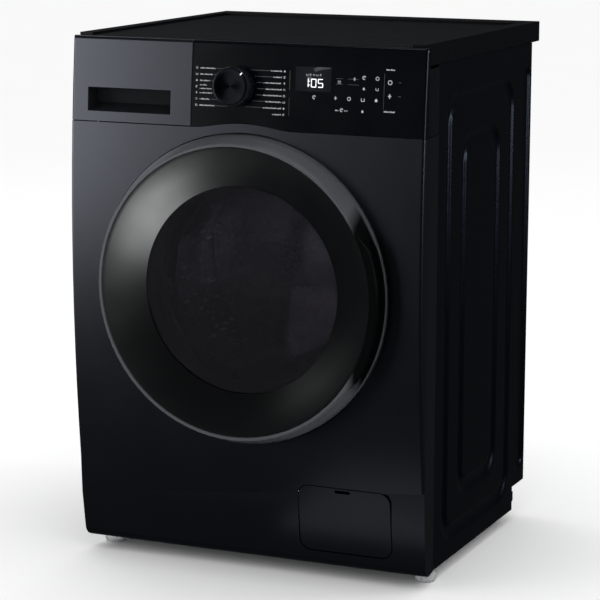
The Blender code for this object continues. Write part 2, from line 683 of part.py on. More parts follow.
def make_door_frame(plastic):
    """Inner frame of the door: clamps the bowl to the ring and carries the hinge and the latch."""
    profile = [(0.1765, -0.2650), (0.2262, -0.2650), (0.2262, -0.2450), (0.2180, -0.2400), (0.1760, -0.2400),
               (0.1712, -0.2430), (0.1765, -0.2560)]
    frame = turned(profile, (0, 0, DOOR_Z), segments=ROUND_DOOR)
    cut(frame, block((0.1960, 0.2175), (-0.2600, -0.2300), (DOOR_Z - 0.015, DOOR_Z + 0.015)))
    cut(frame, block((-0.2400, -0.2080), (-0.2700, -0.2300), (DOOR_Z - 0.062, DOOR_Z + 0.062)))
    return finish(frame, "door_inner_frame", plastic, (HINGE_X, HINGE_Y, DOOR_Z))


def make_door_hinge_knuckle(steel):
    """Moving hinge leaf: a barrel on the pin and an arm screwed to the inner frame."""
    pivot = (HINGE_X, HINGE_Y, DOOR_Z)
    barrel = cylinder(pivot, 0.0050, -0.0280, 0.0280, "Z", 16)
    arm = block((HINGE_X, -0.2093), (HINGE_Y - 0.0030, HINGE_Y + 0.0030), (DOOR_Z - 0.0255, DOOR_Z + 0.0255))
    leaf = block((-0.2123, -0.2083), (HINGE_Y - 0.0035, -0.2420), (DOOR_Z - 0.0250, DOOR_Z + 0.0250))
    knuckle = join(barrel, arm, leaf)
    cut(knuckle, cylinder(pivot, 0.0029, -0.0400, 0.0400, "Z", 16))
    return finish(knuckle, "door_hinge_knuckle", steel, pivot)


def make_hinge_bracket(steel):
    """Fixed hinge bracket on the recess floor: two goose-neck arms with the pin between them."""
    floor_y = RECESS_Y - GAP
    bracket = block((-0.2330, -0.1980), (floor_y - 0.0027, floor_y), (DOOR_Z - 0.048, DOOR_Z + 0.048))
    x, y = HINGE_X, HINGE_Y
    arm = [(x - 0.0025, y - 0.0038), (x + 0.0038, y - 0.0038), (x + 0.0115, y + 0.0040),
           (x + 0.0115, floor_y - 0.0010),
           (x + 0.0045, floor_y - 0.0010), (x + 0.0045, y + 0.0100), (x - 0.0010, y + 0.0038),
           (x - 0.0038, y + 0.0022),
           (x - 0.0038, y - 0.0022)]
    for low, high in HINGE_ARMS:
        join(bracket, prism(arm, "Z", DOOR_Z + low, DOOR_Z + high))
    join(bracket, cylinder((x, y, DOOR_Z), 0.0025, -0.0330, 0.0330, "Z", 16))
    return finish(bracket, "door_hinge_bracket", steel)


LATCH_PIVOT = (0.2065, -0.2520, DOOR_Z)


def make_latch_hook(steel):
    """Sprung hook on the door that catches in the lock."""
    x, y, _ = LATCH_PIVOT
    outline = [(x - 0.0035, y - 0.0035), (x + 0.0035, y - 0.0035), (x + 0.0035, -0.2240),
               (x + 0.0015, -0.2200),
               (x - 0.0035, -0.2235), (x - 0.0035, -0.2262), (x - 0.0005, -0.2262), (x - 0.0005, y + 0.0040),
               (x - 0.0035, y + 0.0040)]
    hook = prism(outline, "Z", DOOR_Z - 0.010, DOOR_Z + 0.010)
    return finish(hook, "latch_hook", steel, LATCH_PIVOT)


def make_door_lock(plastic):
    """Lock behind the recess floor: a box with the slot that takes the hook."""
    y = (RECESS_Y + PANEL_SHEET + GAP, RECESS_Y + 0.0240)
    lock = block((0.1975, 0.2240), y, (DOOR_Z - 0.045, DOOR_Z + 0.030))
    cut(lock, block((0.1990, 0.2135), (y[0] - 0.01, y[0] + 0.0160), (DOOR_Z - 0.0145, DOOR_Z + 0.0145)))
    return finish(lock, "door_lock", plastic)


def make_gasket(rubber):
    """Bellows seal: grips the edge of the cabinet's mouth, folds, and reaches the tub."""
    lip_front, lip_back = RECESS_Y - 0.0005, RECESS_Y + PANEL_SHEET + 0.0005
    outer = [(0.1810, lip_front - 0.0030), (0.1935, lip_front - 0.0030), (0.1935, lip_front),
             (0.1863, lip_front),
             (0.1863, lip_back), (0.1930, lip_back), (0.1930, lip_back + 0.0030), (0.1880, -0.2150),
             (0.2040, -0.1940),
             (0.1930, -0.1760), (0.1930, -0.1675)]
    inner = [(0.1880, -0.1675), (0.1880, -0.1780), (0.1985, -0.1940), (0.1840, -0.2080), (0.1705, -0.2110),
             (0.1695, -0.2170),
             (0.1810, -0.2200)]
    return finish(turned(outer + inner, (0, 0, DOOR_Z), segments=DRUM_SIDES), "door_gasket", rubber)


# ---- service flap ----------------------------------------------------------------------
def bowed_plate(x, z, radius, thickness, chamfer):
    """A plate with round corners that follows the front's bow, its front edge chamfered."""
    bm = bmesh.new()
    loops = []
    for inset, depth in ((chamfer, 0.0), (0.0, chamfer), (0.0, thickness)):
        outline = rounded_rectangle((x[0] + inset, x[1] - inset), (z[0] + inset, z[1] - inset),
                                    radius - inset)
        loops.append([bm.verts.new((px, bow(pz) + depth, pz)) for px, pz in outline])
    for here, there in zip(loops, loops[1:]):
        for i in range(len(here)):
            j = (i + 1) % len(here)
            bm.faces.new((here[i], here[j], there[j], there[i]))
    for cap in (loops[0], loops[-1]):
        quarter = len(cap) // 4
        right = cap[3 * quarter:] + cap[:quarter]
        left = cap[quarter:3 * quarter][::-1]
        for i in range(len(right) - 1):
            bm.faces.new((left[i], right[i], right[i + 1], left[i + 1]))
    return solid(bm)


def make_service_flap(paint):
    """Flap over the drain filter, with a finger slot and a hinge pin at each bottom corner."""
    flap = bowed_plate(FLAP_X, FLAP_Z, FLAP_CORNER, FLAP_THICKNESS, 0.0010)
    finger = rounded_rectangle((0.151, 0.177), (0.1470, 0.1520), 0.0024, 3)
    cut(flap, prism(finger, "Y", -0.30, -0.10))
    axis_y = bow(FLAP_AXIS_Z) + FLAP_AXIS_DEPTH
    for side, edge in ((1, FLAP_X[0]), (-1, FLAP_X[1])):
        lug = block(sorted((edge + side * 0.0055, edge + side * 0.0085)), (axis_y - 0.0018, axis_y + 0.0014),
                    (FLAP_AXIS_Z - 0.0013, FLAP_AXIS_Z + 0.0040))
        pin = cylinder((0, axis_y, FLAP_AXIS_Z), 0.0008,
                       *sorted((edge + side * 0.0065, edge - side * 0.0017)), "X", 10)
        join(flap, join(lug, pin))
    return finish(flap, "service_flap", paint, ((FLAP_X[0] + FLAP_X[1]) / 2, axis_y, FLAP_AXIS_Z))


def make_flap_frame(plastic):
    """Housing behind the service flap: hinge bosses on its sides, a round hole for the filter cap."""
    x, z = (FLAP_X[0] - 0.005, FLAP_X[1] + 0.005), (0.0428, 0.1600)
    y = (bow(z[0]) + PANEL_SHEET + 0.0012, -0.189)
    wall = 0.0025
    frame = block(x, y, z)
    cut(frame, block((x[0] + wall, x[1] - wall), (y[0] - 0.01, y[1] - 0.002), (z[0] + 0.0017, z[1] - wall)))
    cut(frame, cylinder((0.190, 0, 0.098), 0.0335, -0.22, -0.17, segments=ROUND))
    axis_y = bow(FLAP_AXIS_Z) + FLAP_AXIS_DEPTH
    for side, edge in ((1, FLAP_X[0]), (-1, FLAP_X[1])):
        boss = block(sorted((edge - side * 0.0035, edge - side * 0.0004)), (axis_y - 0.0006, axis_y + 0.0110),
                     (FLAP_AXIS_Z - 0.0020, FLAP_AXIS_Z + 0.0020))
        join(frame, boss)
    cut(frame, cylinder((0, axis_y, FLAP_AXIS_Z), 0.0010, FLAP_X[0] - 0.0022, FLAP_X[1] + 0.0022, "X", 10))
    return finish(frame, "flap_frame", plastic)


def make_filter_cap(plastic):
    """Drain filter: a round cap with a grip bar, and its strainer plug."""
    centre = (0.190, 0, 0.098)
    cap = turned([(0.0, -0.2010), (0.0300, -0.2010), (0.0320, -0.1990), (0.0320, -0.1870), (0.0240, -0.1870),
                  (0.0240, -0.1500),
                  (0.0, -0.1500)], centre, segments=32)
    grip = block((0.190 - 0.0040, 0.190 + 0.0040), (-0.2120, -0.2000), (0.098 - 0.0230, 0.098 + 0.0230))
    return finish(join(cap, grip), "filter_cap", plastic, (0.190, -0.1870, 0.098))


def make_drain_pump(plastic):
    centre = (0.190, 0, 0.098)
    pump = turned([(0.0246, -0.1845), (0.0330, -0.1845), (0.0330, -0.0900), (0.0, -0.0900), (0.0, -0.1450),
                   (0.0246, -0.1450)],
                  centre, segments=32)
    motor = cylinder(centre, 0.0240, -0.0950, -0.0450, segments=24)
    outlet = cylinder((0.205, -0.1200, 0.098), 0.0110, 0.0200, 0.0620, "Z", 16)
    return finish(join(pump, motor, outlet), "drain_pump", plastic)


# ---- tub and drive ---------------------------------------------------------------------
TUB_AXIS = (0, 0, DOOR_Z)


def make_tub_front(plastic):
    y = (TUB_FRONT_Y, TUB_SPLIT_Y)
    wall, flange = 0.0050, 0.0060
    profile = [(0.1880, y[0] - 0.0020), (0.1940, y[0] - 0.0020), (TUB_RADIUS, y[0] + 0.0100),
               (TUB_RADIUS, y[1] - flange),
               (TUB_RADIUS + flange, y[1] - flange), (TUB_RADIUS + flange, y[1]), (TUB_RADIUS - wall, y[1]),
               (TUB_RADIUS - wall, y[0] + 0.0150), (0.1880, y[0] + 0.0060)]
    return finish(turned(profile, TUB_AXIS), "tub_front", plastic)


def make_tub_rear(plastic):
    """Bucket of the tub, with the bearing housing in its back and lugs for springs, dampers and motor."""
    y = (TUB_SPLIT_Y + GAP, TUB_BACK_Y)
    wall, flange = 0.0050, 0.0060
    profile = [(TUB_RADIUS + flange, y[0]), (TUB_RADIUS + flange, y[0] + flange), (TUB_RADIUS, y[0] + flange),
               (TUB_RADIUS, y[1]), (0.0420, y[1]), (0.0420, y[1] + 0.0100),
               (0.0265, y[1] + 0.0100), (0.0265, y[1] - 0.0060), (0.0180, y[1] - 0.0060),
               (0.0180, y[1] - 0.0100),
               (0.0265, y[1] - 0.0100), (0.0265, y[1] - 0.0240), (0.0420, y[1] - 0.0240),
               (0.0420, y[1] - wall),
               (TUB_RADIUS - wall, y[1] - wall), (TUB_RADIUS - wall, y[0])]
    tub = turned(profile, TUB_AXIS)
    for side in (-1, 1):
        x = sorted((side * 0.1650, side * 0.1790))
        join(tub, block(x, (0.060, 0.085), (DOOR_Z - 0.2452, DOOR_Z - 0.205)))
        join(tub, block(x, (0.060, 0.085), (DOOR_Z + 0.195, DOOR_Z + 0.235)))
    join(tub, block((MOTOR_X - 0.040, MOTOR_X + 0.040), (0.090, 0.150), (MOTOR_Z + 0.0585, DOOR_Z - 0.2600)))
    cut(tub, cylinder(TUB_AXIS, TUB_RADIUS - wall - 0.0002, y[0] + 0.001, y[1] - 0.0300, segments=ROUND))
    return finish(tub, "tub_rear", plastic)


def make_bearing(name, low, high, steel):
    return finish(ring(TUB_AXIS, 0.0129, 0.0262, low, high, segments=ROUND), name, steel)


def make_counterweight(concrete):
    """Half ring of concrete bolted to the tub's front."""
    y = (TUB_FRONT_Y - 0.0300, TUB_FRONT_Y - 0.0025)
    low, high, steps = 8, 172, 16
    inner, outer = 0.2130, 0.2490
    angles = [math.radians(low + (high - low) * i / steps) for i in range(steps + 1)]
    points = [(outer * math.cos(a), DOOR_Z + outer * math.sin(a)) for a in angles]
    points += [(inner * math.cos(a), DOOR_Z + inner * math.sin(a)) for a in reversed(angles)]
    return finish(prism(points, "Y", *y), "counterweight", concrete)


def make_drum(steel):
    """Stainless drum: front collar, wall and back in one sheet."""
    sheet = 0.0012
    y = (DRUM_FRONT_Y, DRUM_BACK_Y)
    profile = [(0.1730, y[0]), (0.1790, y[0]), (DRUM_RADIUS - 0.010, y[0] + 0.0150),
               (DRUM_RADIUS, y[0] + 0.0260),
               (DRUM_RADIUS, y[1]), (0.0, y[1]), (0.0, y[1] - sheet), (DRUM_RADIUS - sheet, y[1] - sheet),
               (DRUM_RADIUS - sheet, y[0] + 0.0265), (DRUM_RADIUS - 0.0108, y[0] + 0.0162),
               (0.1785, y[0] + sheet),
               (0.1730, y[0] + sheet)]
    return finish(turned(profile, TUB_AXIS, segments=DRUM_SIDES), "drum", steel, TUB_AXIS)


def make_lifter(index, plastic):
    """Triangular paddle along the inside of the drum."""
    wall = DRUM_RADIUS - 0.0012 - GAP
    chord_drop = wall * math.cos(math.pi / DRUM_SIDES) - 0.0004
    half = 0.024
    base = math.sqrt(chord_drop ** 2 - half ** 2) - 0.0003
    outline = [(-half, base), (-0.008, wall - 0.052), (0.008, wall - 0.052), (half, base),
               (0.0, base + 0.0006)]
    paddle = prism([(x, z) for x, z in outline], "Y", DRUM_FRONT_Y + 0.040, DRUM_BACK_Y - 0.012)
    turn = Matrix.Rotation(math.radians(90 + 120 * index), 4, "Y")
    paddle.data.transform(Matrix.Translation((0, 0, DOOR_Z)) @ turn)
    return finish(paddle, "lifter_%d" % (index + 1), plastic, TUB_AXIS)


def make_spider(metal):
    """Three-armed cast spider with the drum's shaft."""
    y = (DRUM_BACK_Y + GAP, DRUM_BACK_Y + 0.0090)
    hub_radius, half, reach = 0.036, 0.014, 0.225
    root = math.sqrt(hub_radius ** 2 - half ** 2)
    outline = []
    for index in range(3):
        turn = Matrix.Rotation(math.radians(30 + 120 * index), 2)
        corners = [Vector(c) for c in ((root, -half), (reach, -half), (reach, half), (root, half))]
        corners += [Matrix.Rotation(math.radians(a), 2) @ Vector((hub_radius, 0)) for a in (42, 60, 78)]
        outline += [turn @ corner + Vector((0, DOOR_Z)) for corner in corners]
    spider = prism(outline, "Y", *y)
    shaft = cylinder(TUB_AXIS, 0.0125, y[0] + 0.004, PULLEY_Y + 0.0170, segments=24)
    return finish(join(spider, shaft), "drum_spider", metal, TUB_AXIS)


def make_pulley(metal):
    y = PULLEY_Y
    pulley = turned([(0.0130, y - 0.0060), (0.0300, y - 0.0060), (0.0300, y - 0.0015),
                     (PULLEY_RADIUS - 0.008, y - 0.0015),
                     (PULLEY_RADIUS - 0.008, y - 0.0080), (PULLEY_RADIUS, y - 0.0080),
                     (PULLEY_RADIUS, y + 0.0080),
                     (PULLEY_RADIUS - 0.008, y + 0.0080), (PULLEY_RADIUS - 0.008, y + 0.0015),
                     (0.0300, y + 0.0015),
                     (0.0300, y + 0.0120), (0.0130, y + 0.0120)], TUB_AXIS, segments=ROUND)
    for index in range(5):
        angle = math.radians(72 * index)
        place = (0.080 * math.cos(angle), 0, DOOR_Z + 0.080 * math.sin(angle))
        cut(pulley, cylinder(place, 0.030, y - 0.02, y + 0.02, segments=12))
    return finish(pulley, "drum_pulley", metal, TUB_AXIS)


def belt_outline(grow):
    """Outer tangent loop round the two pulleys, in (x, z)."""
    small, large = Vector((MOTOR_X, MOTOR_Z)), Vector((0.0, DOOR_Z))
    across = small - large
    bearing = math.atan2(across.y, across.x)
    radii = (PULLEY_RADIUS + grow, MOTOR_PULLEY_RADIUS + grow)
    lean = math.acos((radii[0] - radii[1]) / across.length)
    points = []
    for i in range(33):
        angle = bearing + lean + (2 * math.pi - 2 * lean) * i / 32
        points.append((large.x + radii[0] * math.cos(angle), large.y + radii[0] * math.sin(angle)))
    for i in range(9):
        angle = bearing - lean + 2 * lean * i / 8
        points.append((small.x + radii[1] * math.cos(angle), small.y + radii[1] * math.sin(angle)))
    return points


def make_belt(rubber):
    clearance = 0.0006
    belt = prism(belt_outline(BELT_THICKNESS + clearance), "Y", PULLEY_Y - 0.0060, PULLEY_Y + 0.0060)
    cut(belt, prism(belt_outline(clearance), "Y", PULLEY_Y - 0.02, PULLEY_Y + 0.02))
    return finish(belt, "drive_belt", rubber)


def make_motor(metal, steel):
    centre = (MOTOR_X, 0, MOTOR_Z)
    body = turned([(0.0, 0.0550), (0.0520, 0.0550), (0.0580, 0.0620), (0.0580, 0.1880), (0.0520, 0.1950),
                   (0.0070, 0.1950),
                   (0.0070, 0.1600), (0.0, 0.1600)], centre, segments=24)
    finish(body, "motor", metal)
    pulley = turned([(0.0, 0.1650), (0.0055, 0.1650), (0.0055, 0.2120), (MOTOR_PULLEY_RADIUS, 0.2120),
                     (MOTOR_PULLEY_RADIUS, 0.2320),
                     (0.0, 0.2320)], centre, segments=16)
    return finish(pulley, "motor_pulley", steel, (MOTOR_X, PULLEY_Y, MOTOR_Z))


def make_heater(steel):
    """Tubular heater along the bottom of the tub, below the drum."""
    x, z = 0.030, DOOR_Z - 0.2545
    loop = rounded_rectangle((-x, x), (-0.030, 0.178), 0.012, 3)
    bar = prism(loop, "Z", z - 0.003, z + 0.003)
    cut(bar, prism(rounded_rectangle((-x + 0.006, x - 0.006), (-0.024, 0.172), 0.006, 3), "Z", z - 0.01,
                   z + 0.01))
    return finish(bar, "heater", steel)


def make_spring(side, steel):
    """Suspension spring from the top rail down to the tub's ear, as its outer envelope tube."""
    x = side * 0.172
    spring = turned([(0.0090, DOOR_Z + 0.2360), (0.0120, DOOR_Z + 0.2360), (0.0120, 0.7880),
                     (0.0090, 0.7880)], (x, 0.0725, 0), "Z", 12)
    return finish(spring, "suspension_spring_right" if side > 0 else "suspension_spring_left", steel)


def make_damper(side, plastic, steel):
    """Friction damper: a cylinder on the base tray and a rod on the tub."""
    label = "right" if side > 0 else "left"
    centre = (side * 0.172, 0.0725, 0)
    cylinder_part = turned([(0.0, 0.0410), (0.0130, 0.0410), (0.0130, 0.1500), (0.0075, 0.1500),
                            (0.0075, 0.0500), (0.0, 0.0500)],
                           centre, "Z", 20)
    finish(cylinder_part, "damper_cylinder_" + label, plastic)
    rod = cylinder(centre, 0.0068, 0.0900, DOOR_Z - 0.2455, "Z", 16)
    return finish(rod, "damper_rod_" + label, steel)


def make_sump_hose(rubber):
    """Corrugated hose from the bottom of the tub to the drain pump."""
    profile = []
    steps = 6
    low, high = 0.1330, DOOR_Z - TUB_RADIUS - 0.0040
    for i in range(steps + 1):
        profile.append((0.0190 if i % 2 else 0.0160, low + (high - low) * i / steps))
    inner = [(radius - 0.0025, z) for radius, z in reversed(profile)]
    return finish(turned(profile + inner, (0.150, -0.118, 0), "Z", 16), "sump_hose", rubber)


# ---- build -----------------------------------------------------------------------------
def build():
    clear_scene()
    graphite = material("graphite_paint", (0.020, 0.022, 0.028), 0.34, 0.55)
    gloss_black = material("gloss_black", (0.006, 0.007, 0.010), 0.12)
    black_paint = material("black_paint", (0.012, 0.014, 0.018), 0.42)
    galvanised = material("galvanised_steel", (0.42, 0.43, 0.44), 0.45, 0.9)
    stainless = material("stainless_steel", (0.55, 0.55, 0.56), 0.28, 1.0)
    cast = material("cast_aluminium", (0.50, 0.51, 0.52), 0.50, 0.9)
    white_plastic = material("white_plastic", (0.72, 0.73, 0.74), 0.45)
    grey_plastic = material("grey_plastic", (0.28, 0.29, 0.31), 0.50)
    black_plastic = material("black_plastic", (0.015, 0.016, 0.018), 0.45)
    dark_chrome = material("dark_chrome", (0.10, 0.11, 0.12), 0.22, 0.9)
    tinted_glass = material("tinted_glass", (0.010, 0.010, 0.012), 0.05)
    clear_glass = material("clear_glass", (0.60, 0.64, 0.66), 0.03)
    grey_rubber = material("grey_rubber", (0.16, 0.16, 0.17), 0.60)
    black_rubber = material("black_rubber", (0.02, 0.02, 0.02), 0.65)
    concrete = material("concrete", (0.45, 0.44, 0.42), 0.90)

    make_front_panel(graphite)
    make_control_panel(gloss_black)
    for side in (-1, 1):
        make_side_panel(side, black_paint)
    make_back_panel(black_paint)
    make_base_tray(black_plastic)
    for name, place in FOOT_PLACES.items():
        make_foot(name, place, white_plastic)
    make_worktop(black_paint, graphite)
    make_crossbar("front_crossbar", (-0.1800, -0.1600), (0.8015, 0.8140), galvanised)
    make_crossbar("spring_rail", (0.0605, 0.0845), (0.7885, 0.8120), galvanised)

    make_knob(dark_chrome)
    make_encoder(black_plastic)
    make_control_board(grey_plastic)
    make_drawer(graphite, white_plastic, grey_plastic)
    make_dispenser_housing(white_plastic)
    make_inlet_valve(white_plastic)
    make_drain_outlet(grey_plastic)
    make_mains_gland(black_plastic)

    make_door_ring(dark_chrome)
    make_door_cover(tinted_glass)
    make_door_bowl(clear_glass)
    make_door_frame(black_plastic)
    make_door_hinge_knuckle(galvanised)
    make_hinge_bracket(galvanised)
    make_latch_hook(galvanised)
    make_door_lock(black_plastic)
    make_gasket(grey_rubber)

    make_service_flap(graphite)
    make_flap_frame(black_plastic)
    make_filter_cap(grey_plastic)
    make_drain_pump(white_plastic)

    make_tub_front(white_plastic)
    make_tub_rear(white_plastic)
    make_bearing("front_bearing", TUB_BACK_Y - 0.0230, TUB_BACK_Y - 0.0110, galvanised)
    make_bearing("rear_bearing", TUB_BACK_Y - 0.0050, TUB_BACK_Y + 0.0090, galvanised)
    make_counterweight(concrete)
    make_drum(stainless)
    for index in range(3):
        make_lifter(index, grey_plastic)
    make_spider(cast)
    make_pulley(cast)
    make_belt(black_rubber)
    make_motor(cast, galvanised)
    make_heater(stainless)
    for side in (-1, 1):
        make_spring(side, galvanised)
        make_damper(side, grey_plastic, galvanised)
    make_sump_hose(black_rubber)


build()
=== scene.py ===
"""Front load washing machine: the visual model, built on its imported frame.

Metres, X to the machine's right as seen from the front, front towards -Y, Z up, floor at zero. The bowed
front pieces, side panels, door cover, gasket, drum, springs and knob are built here; every other CAD node
stays and is given soft edges and a material.
"""
import math

import bmesh
import bpy
from mathutils import Matrix, Vector


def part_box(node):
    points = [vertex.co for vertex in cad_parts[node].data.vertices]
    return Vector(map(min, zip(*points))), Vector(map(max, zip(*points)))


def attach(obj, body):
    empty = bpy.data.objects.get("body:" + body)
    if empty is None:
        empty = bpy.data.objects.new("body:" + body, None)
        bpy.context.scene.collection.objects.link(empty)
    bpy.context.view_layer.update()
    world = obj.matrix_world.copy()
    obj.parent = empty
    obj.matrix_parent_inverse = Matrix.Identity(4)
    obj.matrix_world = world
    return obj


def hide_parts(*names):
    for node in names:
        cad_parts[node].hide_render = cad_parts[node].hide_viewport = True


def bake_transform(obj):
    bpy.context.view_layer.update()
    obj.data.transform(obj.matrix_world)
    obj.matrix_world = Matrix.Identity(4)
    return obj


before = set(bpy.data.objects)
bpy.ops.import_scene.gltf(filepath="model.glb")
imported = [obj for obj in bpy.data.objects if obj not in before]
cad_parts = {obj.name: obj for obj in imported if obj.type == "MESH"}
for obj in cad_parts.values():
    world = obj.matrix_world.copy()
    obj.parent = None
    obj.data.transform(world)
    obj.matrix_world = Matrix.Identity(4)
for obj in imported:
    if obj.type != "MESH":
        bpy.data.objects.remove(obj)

bpy.context.view_layer.update()
scene = bpy.context.scene

# ---- dimensions that the replaced pieces share with their CAD nodes --------------------
BOW_RADIUS, BOW_Z, BOW_Y = 3.310, 0.513, -0.2672
DOOR_Z = 0.461
RIM_RADIUS, WINDOW_RADIUS, DOOR_FRONT_Y, WINDOW_Y = 0.232, 0.1635, -0.301, -0.2700
SIDE_X = 0.2915
KNOB_X, KNOB_Z, KNOB_RADIUS, KNOB_HEIGHT = -0.012, 0.777, 0.0305, 0.024
DRUM_RADIUS, DRUM_FRONT_Y, DRUM_BACK_Y = 0.243, -0.140, 0.150


def bow(z):
    """y of the front's face at a height."""
    return BOW_Y + BOW_RADIUS - math.sqrt(BOW_RADIUS ** 2 - (z - BOW_Z) ** 2)


def bow_normal(z):
    """Outward normal of the front's face at a height."""
    slope = (z - BOW_Z) / math.sqrt(BOW_RADIUS ** 2 - (z - BOW_Z) ** 2)
    return Vector((0, -1, slope)).normalized()


# ---- materials -------------------------------------------------------------------------
def material(name, colour, roughness, metallic=0.0, shade=0.12, rough_shade=0.06, cell=0.02, bump=0.0,
             bump_cell=0.002, streak=None, **sockets):
    """Principled material whose colour and roughness drift with object-space noise, with a fine bump."""
    mat = bpy.data.materials.new(name)
    mat.use_nodes = True
    tree = mat.node_tree
    shader = tree.nodes["Principled BSDF"]
    place = tree.nodes.new("ShaderNodeTexCoord")
    source = place.outputs["Object"]
    if streak:
        stretch = tree.nodes.new("ShaderNodeMapping")
        stretch.inputs["Scale"].default_value = streak
        tree.links.new(source, stretch.inputs["Vector"])
        source = stretch.outputs["Vector"]

    def noise(size, detail):
        node = tree.nodes.new("ShaderNodeTexNoise")
        node.inputs["Scale"].default_value = 1.0 / size
        node.inputs["Detail"].default_value = detail
        tree.links.new(source, node.inputs["Vector"])
        return node.outputs["Fac"]

    drift = noise(cell, 4.0)
    ramp = tree.nodes.new("ShaderNodeValToRGB")
    ramp.color_ramp.elements[0].position, ramp.color_ramp.elements[1].position = 0.3, 0.7
    for element, gain in zip(ramp.color_ramp.elements, (1.0 - shade, 1.0 + shade)):
        element.color = [min(1.0, c * gain) for c in colour] + [1.0]
    tree.links.new(drift, ramp.inputs["Fac"])
    tree.links.new(ramp.outputs["Color"], shader.inputs["Base Color"])
    spread = tree.nodes.new("ShaderNodeMapRange")
    spread.inputs["From Min"].default_value, spread.inputs["From Max"].default_value = 0.3, 0.7
    spread.inputs["To Min"].default_value = max(0.02, roughness - rough_shade)
    spread.inputs["To Max"].default_value = min(1.0, roughness + rough_shade)
    tree.links.new(noise(cell * 0.6, 3.0), spread.inputs["Value"])
    tree.links.new(spread.outputs["Result"], shader.inputs["Roughness"])
    shader.inputs["Metallic"].default_value = metallic
    if bump:
        node = tree.nodes.new("ShaderNodeBump")
        node.inputs["Strength"].default_value = 1.0
        node.inputs["Distance"].default_value = bump
        tree.links.new(noise(bump_cell, 2.0), node.inputs["Height"])
        tree.links.new(node.outputs["Normal"], shader.inputs["Normal"])
    for socket, value in sockets.items():
        shader.inputs[socket.replace("_", " ")].default_value = value
    return mat


GRAPHITE = material("graphite satin paint", (0.125, 0.131, 0.150), 0.30, 1.0, 0.02, 0.008, 0.09, 0.0000015,
                    0.0009)
SIDE_PAINT = material("dark side paint", (0.046, 0.053, 0.072), 0.28, 1.0, 0.04, 0.02, 0.06, 0.000006, 0.0009)
TOP_PAINT = material("worktop laminate", (0.0022, 0.0027, 0.0040), 0.36, 0.0, 0.06, 0.03, 0.05, 0.000008,
                     0.0007,
                     Specular_IOR_Level=0.28)
PIANO = material("gloss black fascia", (0.0009, 0.0012, 0.0026), 0.20, 0.0, 0.05, 0.02, 0.08, 0.000002, 0.003)
# Door ring: partly its dark metal, partly a grey diffuse part that is painted reflection, lighting the flank
# where it lies in shade.
RING_METAL_AND_SHEEN = material("dark chrome", (0.150, 0.160, 0.172), 0.24, 0.62, 0.03, 0.03, 0.05, 0.000002, 0.002)
BAND = material("gloss door band", (0.0013, 0.0015, 0.0018), 0.33, 0.0, 0.04, 0.02, 0.08)
STEEL = material("drum stainless", (0.58, 0.58, 0.59), 0.24, 1.0, 0.05, 0.05, 0.012, 0.000006, 0.0015,
                 streak=(1.0, 0.15, 1.0))
ZINC = material("galvanised steel", (0.52, 0.54, 0.56), 0.36, 1.0, 0.16, 0.08, 0.009, 0.00001, 0.002)
CAST = material("cast aluminium", (0.52, 0.53, 0.54), 0.50, 1.0, 0.08, 0.08, 0.004, 0.00005, 0.0012)
WHITE_PLASTIC = material("white moulding", (0.72, 0.73, 0.74), 0.42, 0.0, 0.03, 0.05, 0.02, 0.00002, 0.001)
GREY_PLASTIC = material("grey glass-filled plastic", (0.36, 0.37, 0.38), 0.52, 0.0, 0.07, 0.06, 0.006,
                        0.00003, 0.001)
BLACK_PLASTIC = material("black moulding", (0.013, 0.0145, 0.017), 0.60, 0.0, 0.08, 0.06, 0.012, 0.00002,
                         0.0006,
                         Specular_IOR_Level=0.08)
GASKET = material("grey door rubber", (0.17, 0.175, 0.185), 0.50, 0.0, 0.10, 0.08, 0.010, 0.00003, 0.0015)
RUBBER = material("black rubber", (0.014, 0.014, 0.015), 0.62, 0.0, 0.15, 0.08, 0.006, 0.00004, 0.0008)
CONCRETE = material("counterweight concrete", (0.34, 0.335, 0.32), 0.88, 0.0, 0.22, 0.05, 0.006, 0.0004,
                    0.003)
BACK_SHEET = material("back sheet", (0.10, 0.105, 0.115), 0.48, 0.75, 0.06, 0.04, 0.05, 0.00002, 0.002)
FOOT_PLASTIC = material("clear foot plastic", (0.80, 0.82, 0.84), 0.30, 0.0, 0.03, 0.05, 0.006, 0.00002,
                        0.001,
                        Transmission_Weight=0.55, IOR=1.46)
WINDOW = material("tinted window", (0.20, 0.19, 0.22), 0.035, 0.0, 0.03, 0.01, 0.08, Transmission_Weight=1.0,
                  IOR=1.45)
BOWL = material("clear door bowl", (0.93, 0.94, 0.95), 0.03, 0.0, 0.01, 0.01, 0.08, Transmission_Weight=1.0,
                IOR=1.47)
KNOB_FACE = material("spun knob face", (0.018, 0.020, 0.025), 0.34, 1.0, 0.05, 0.05, 0.01, Anisotropic=0.85)
KNOB_SIDE = material("dark knob plastic", (0.012, 0.013, 0.017), 0.26, 0.2, 0.06, 0.04, 0.01, 0.000005, 0.001)
MARKS = material("panel print", (0.50, 0.51, 0.53), 0.5, 0.0, 0.08, 0.04, 0.01)
MARKS_DIM = material("panel print, unlit", (0.105, 0.11, 0.12), 0.5, 0.0, 0.08, 0.04, 0.01)
LIT = material("lit segments", (0.85, 0.87, 0.88), 0.5, 0.0, 0.02, 0.04, 0.01,
               Emission_Color=(0.92, 0.95, 1.0, 1.0),
               Emission_Strength=0.75)
DISPLAY = material("display window", (0.011, 0.012, 0.015), 0.16, 0.0, 0.05, 0.03, 0.03)
GREEN = material("circuit board", (0.02, 0.11, 0.05), 0.42, 0.0, 0.14, 0.06, 0.006, 0.00002, 0.0015)
BRASS = material("element nickel", (0.62, 0.60, 0.55), 0.30, 1.0, 0.08, 0.06, 0.006)

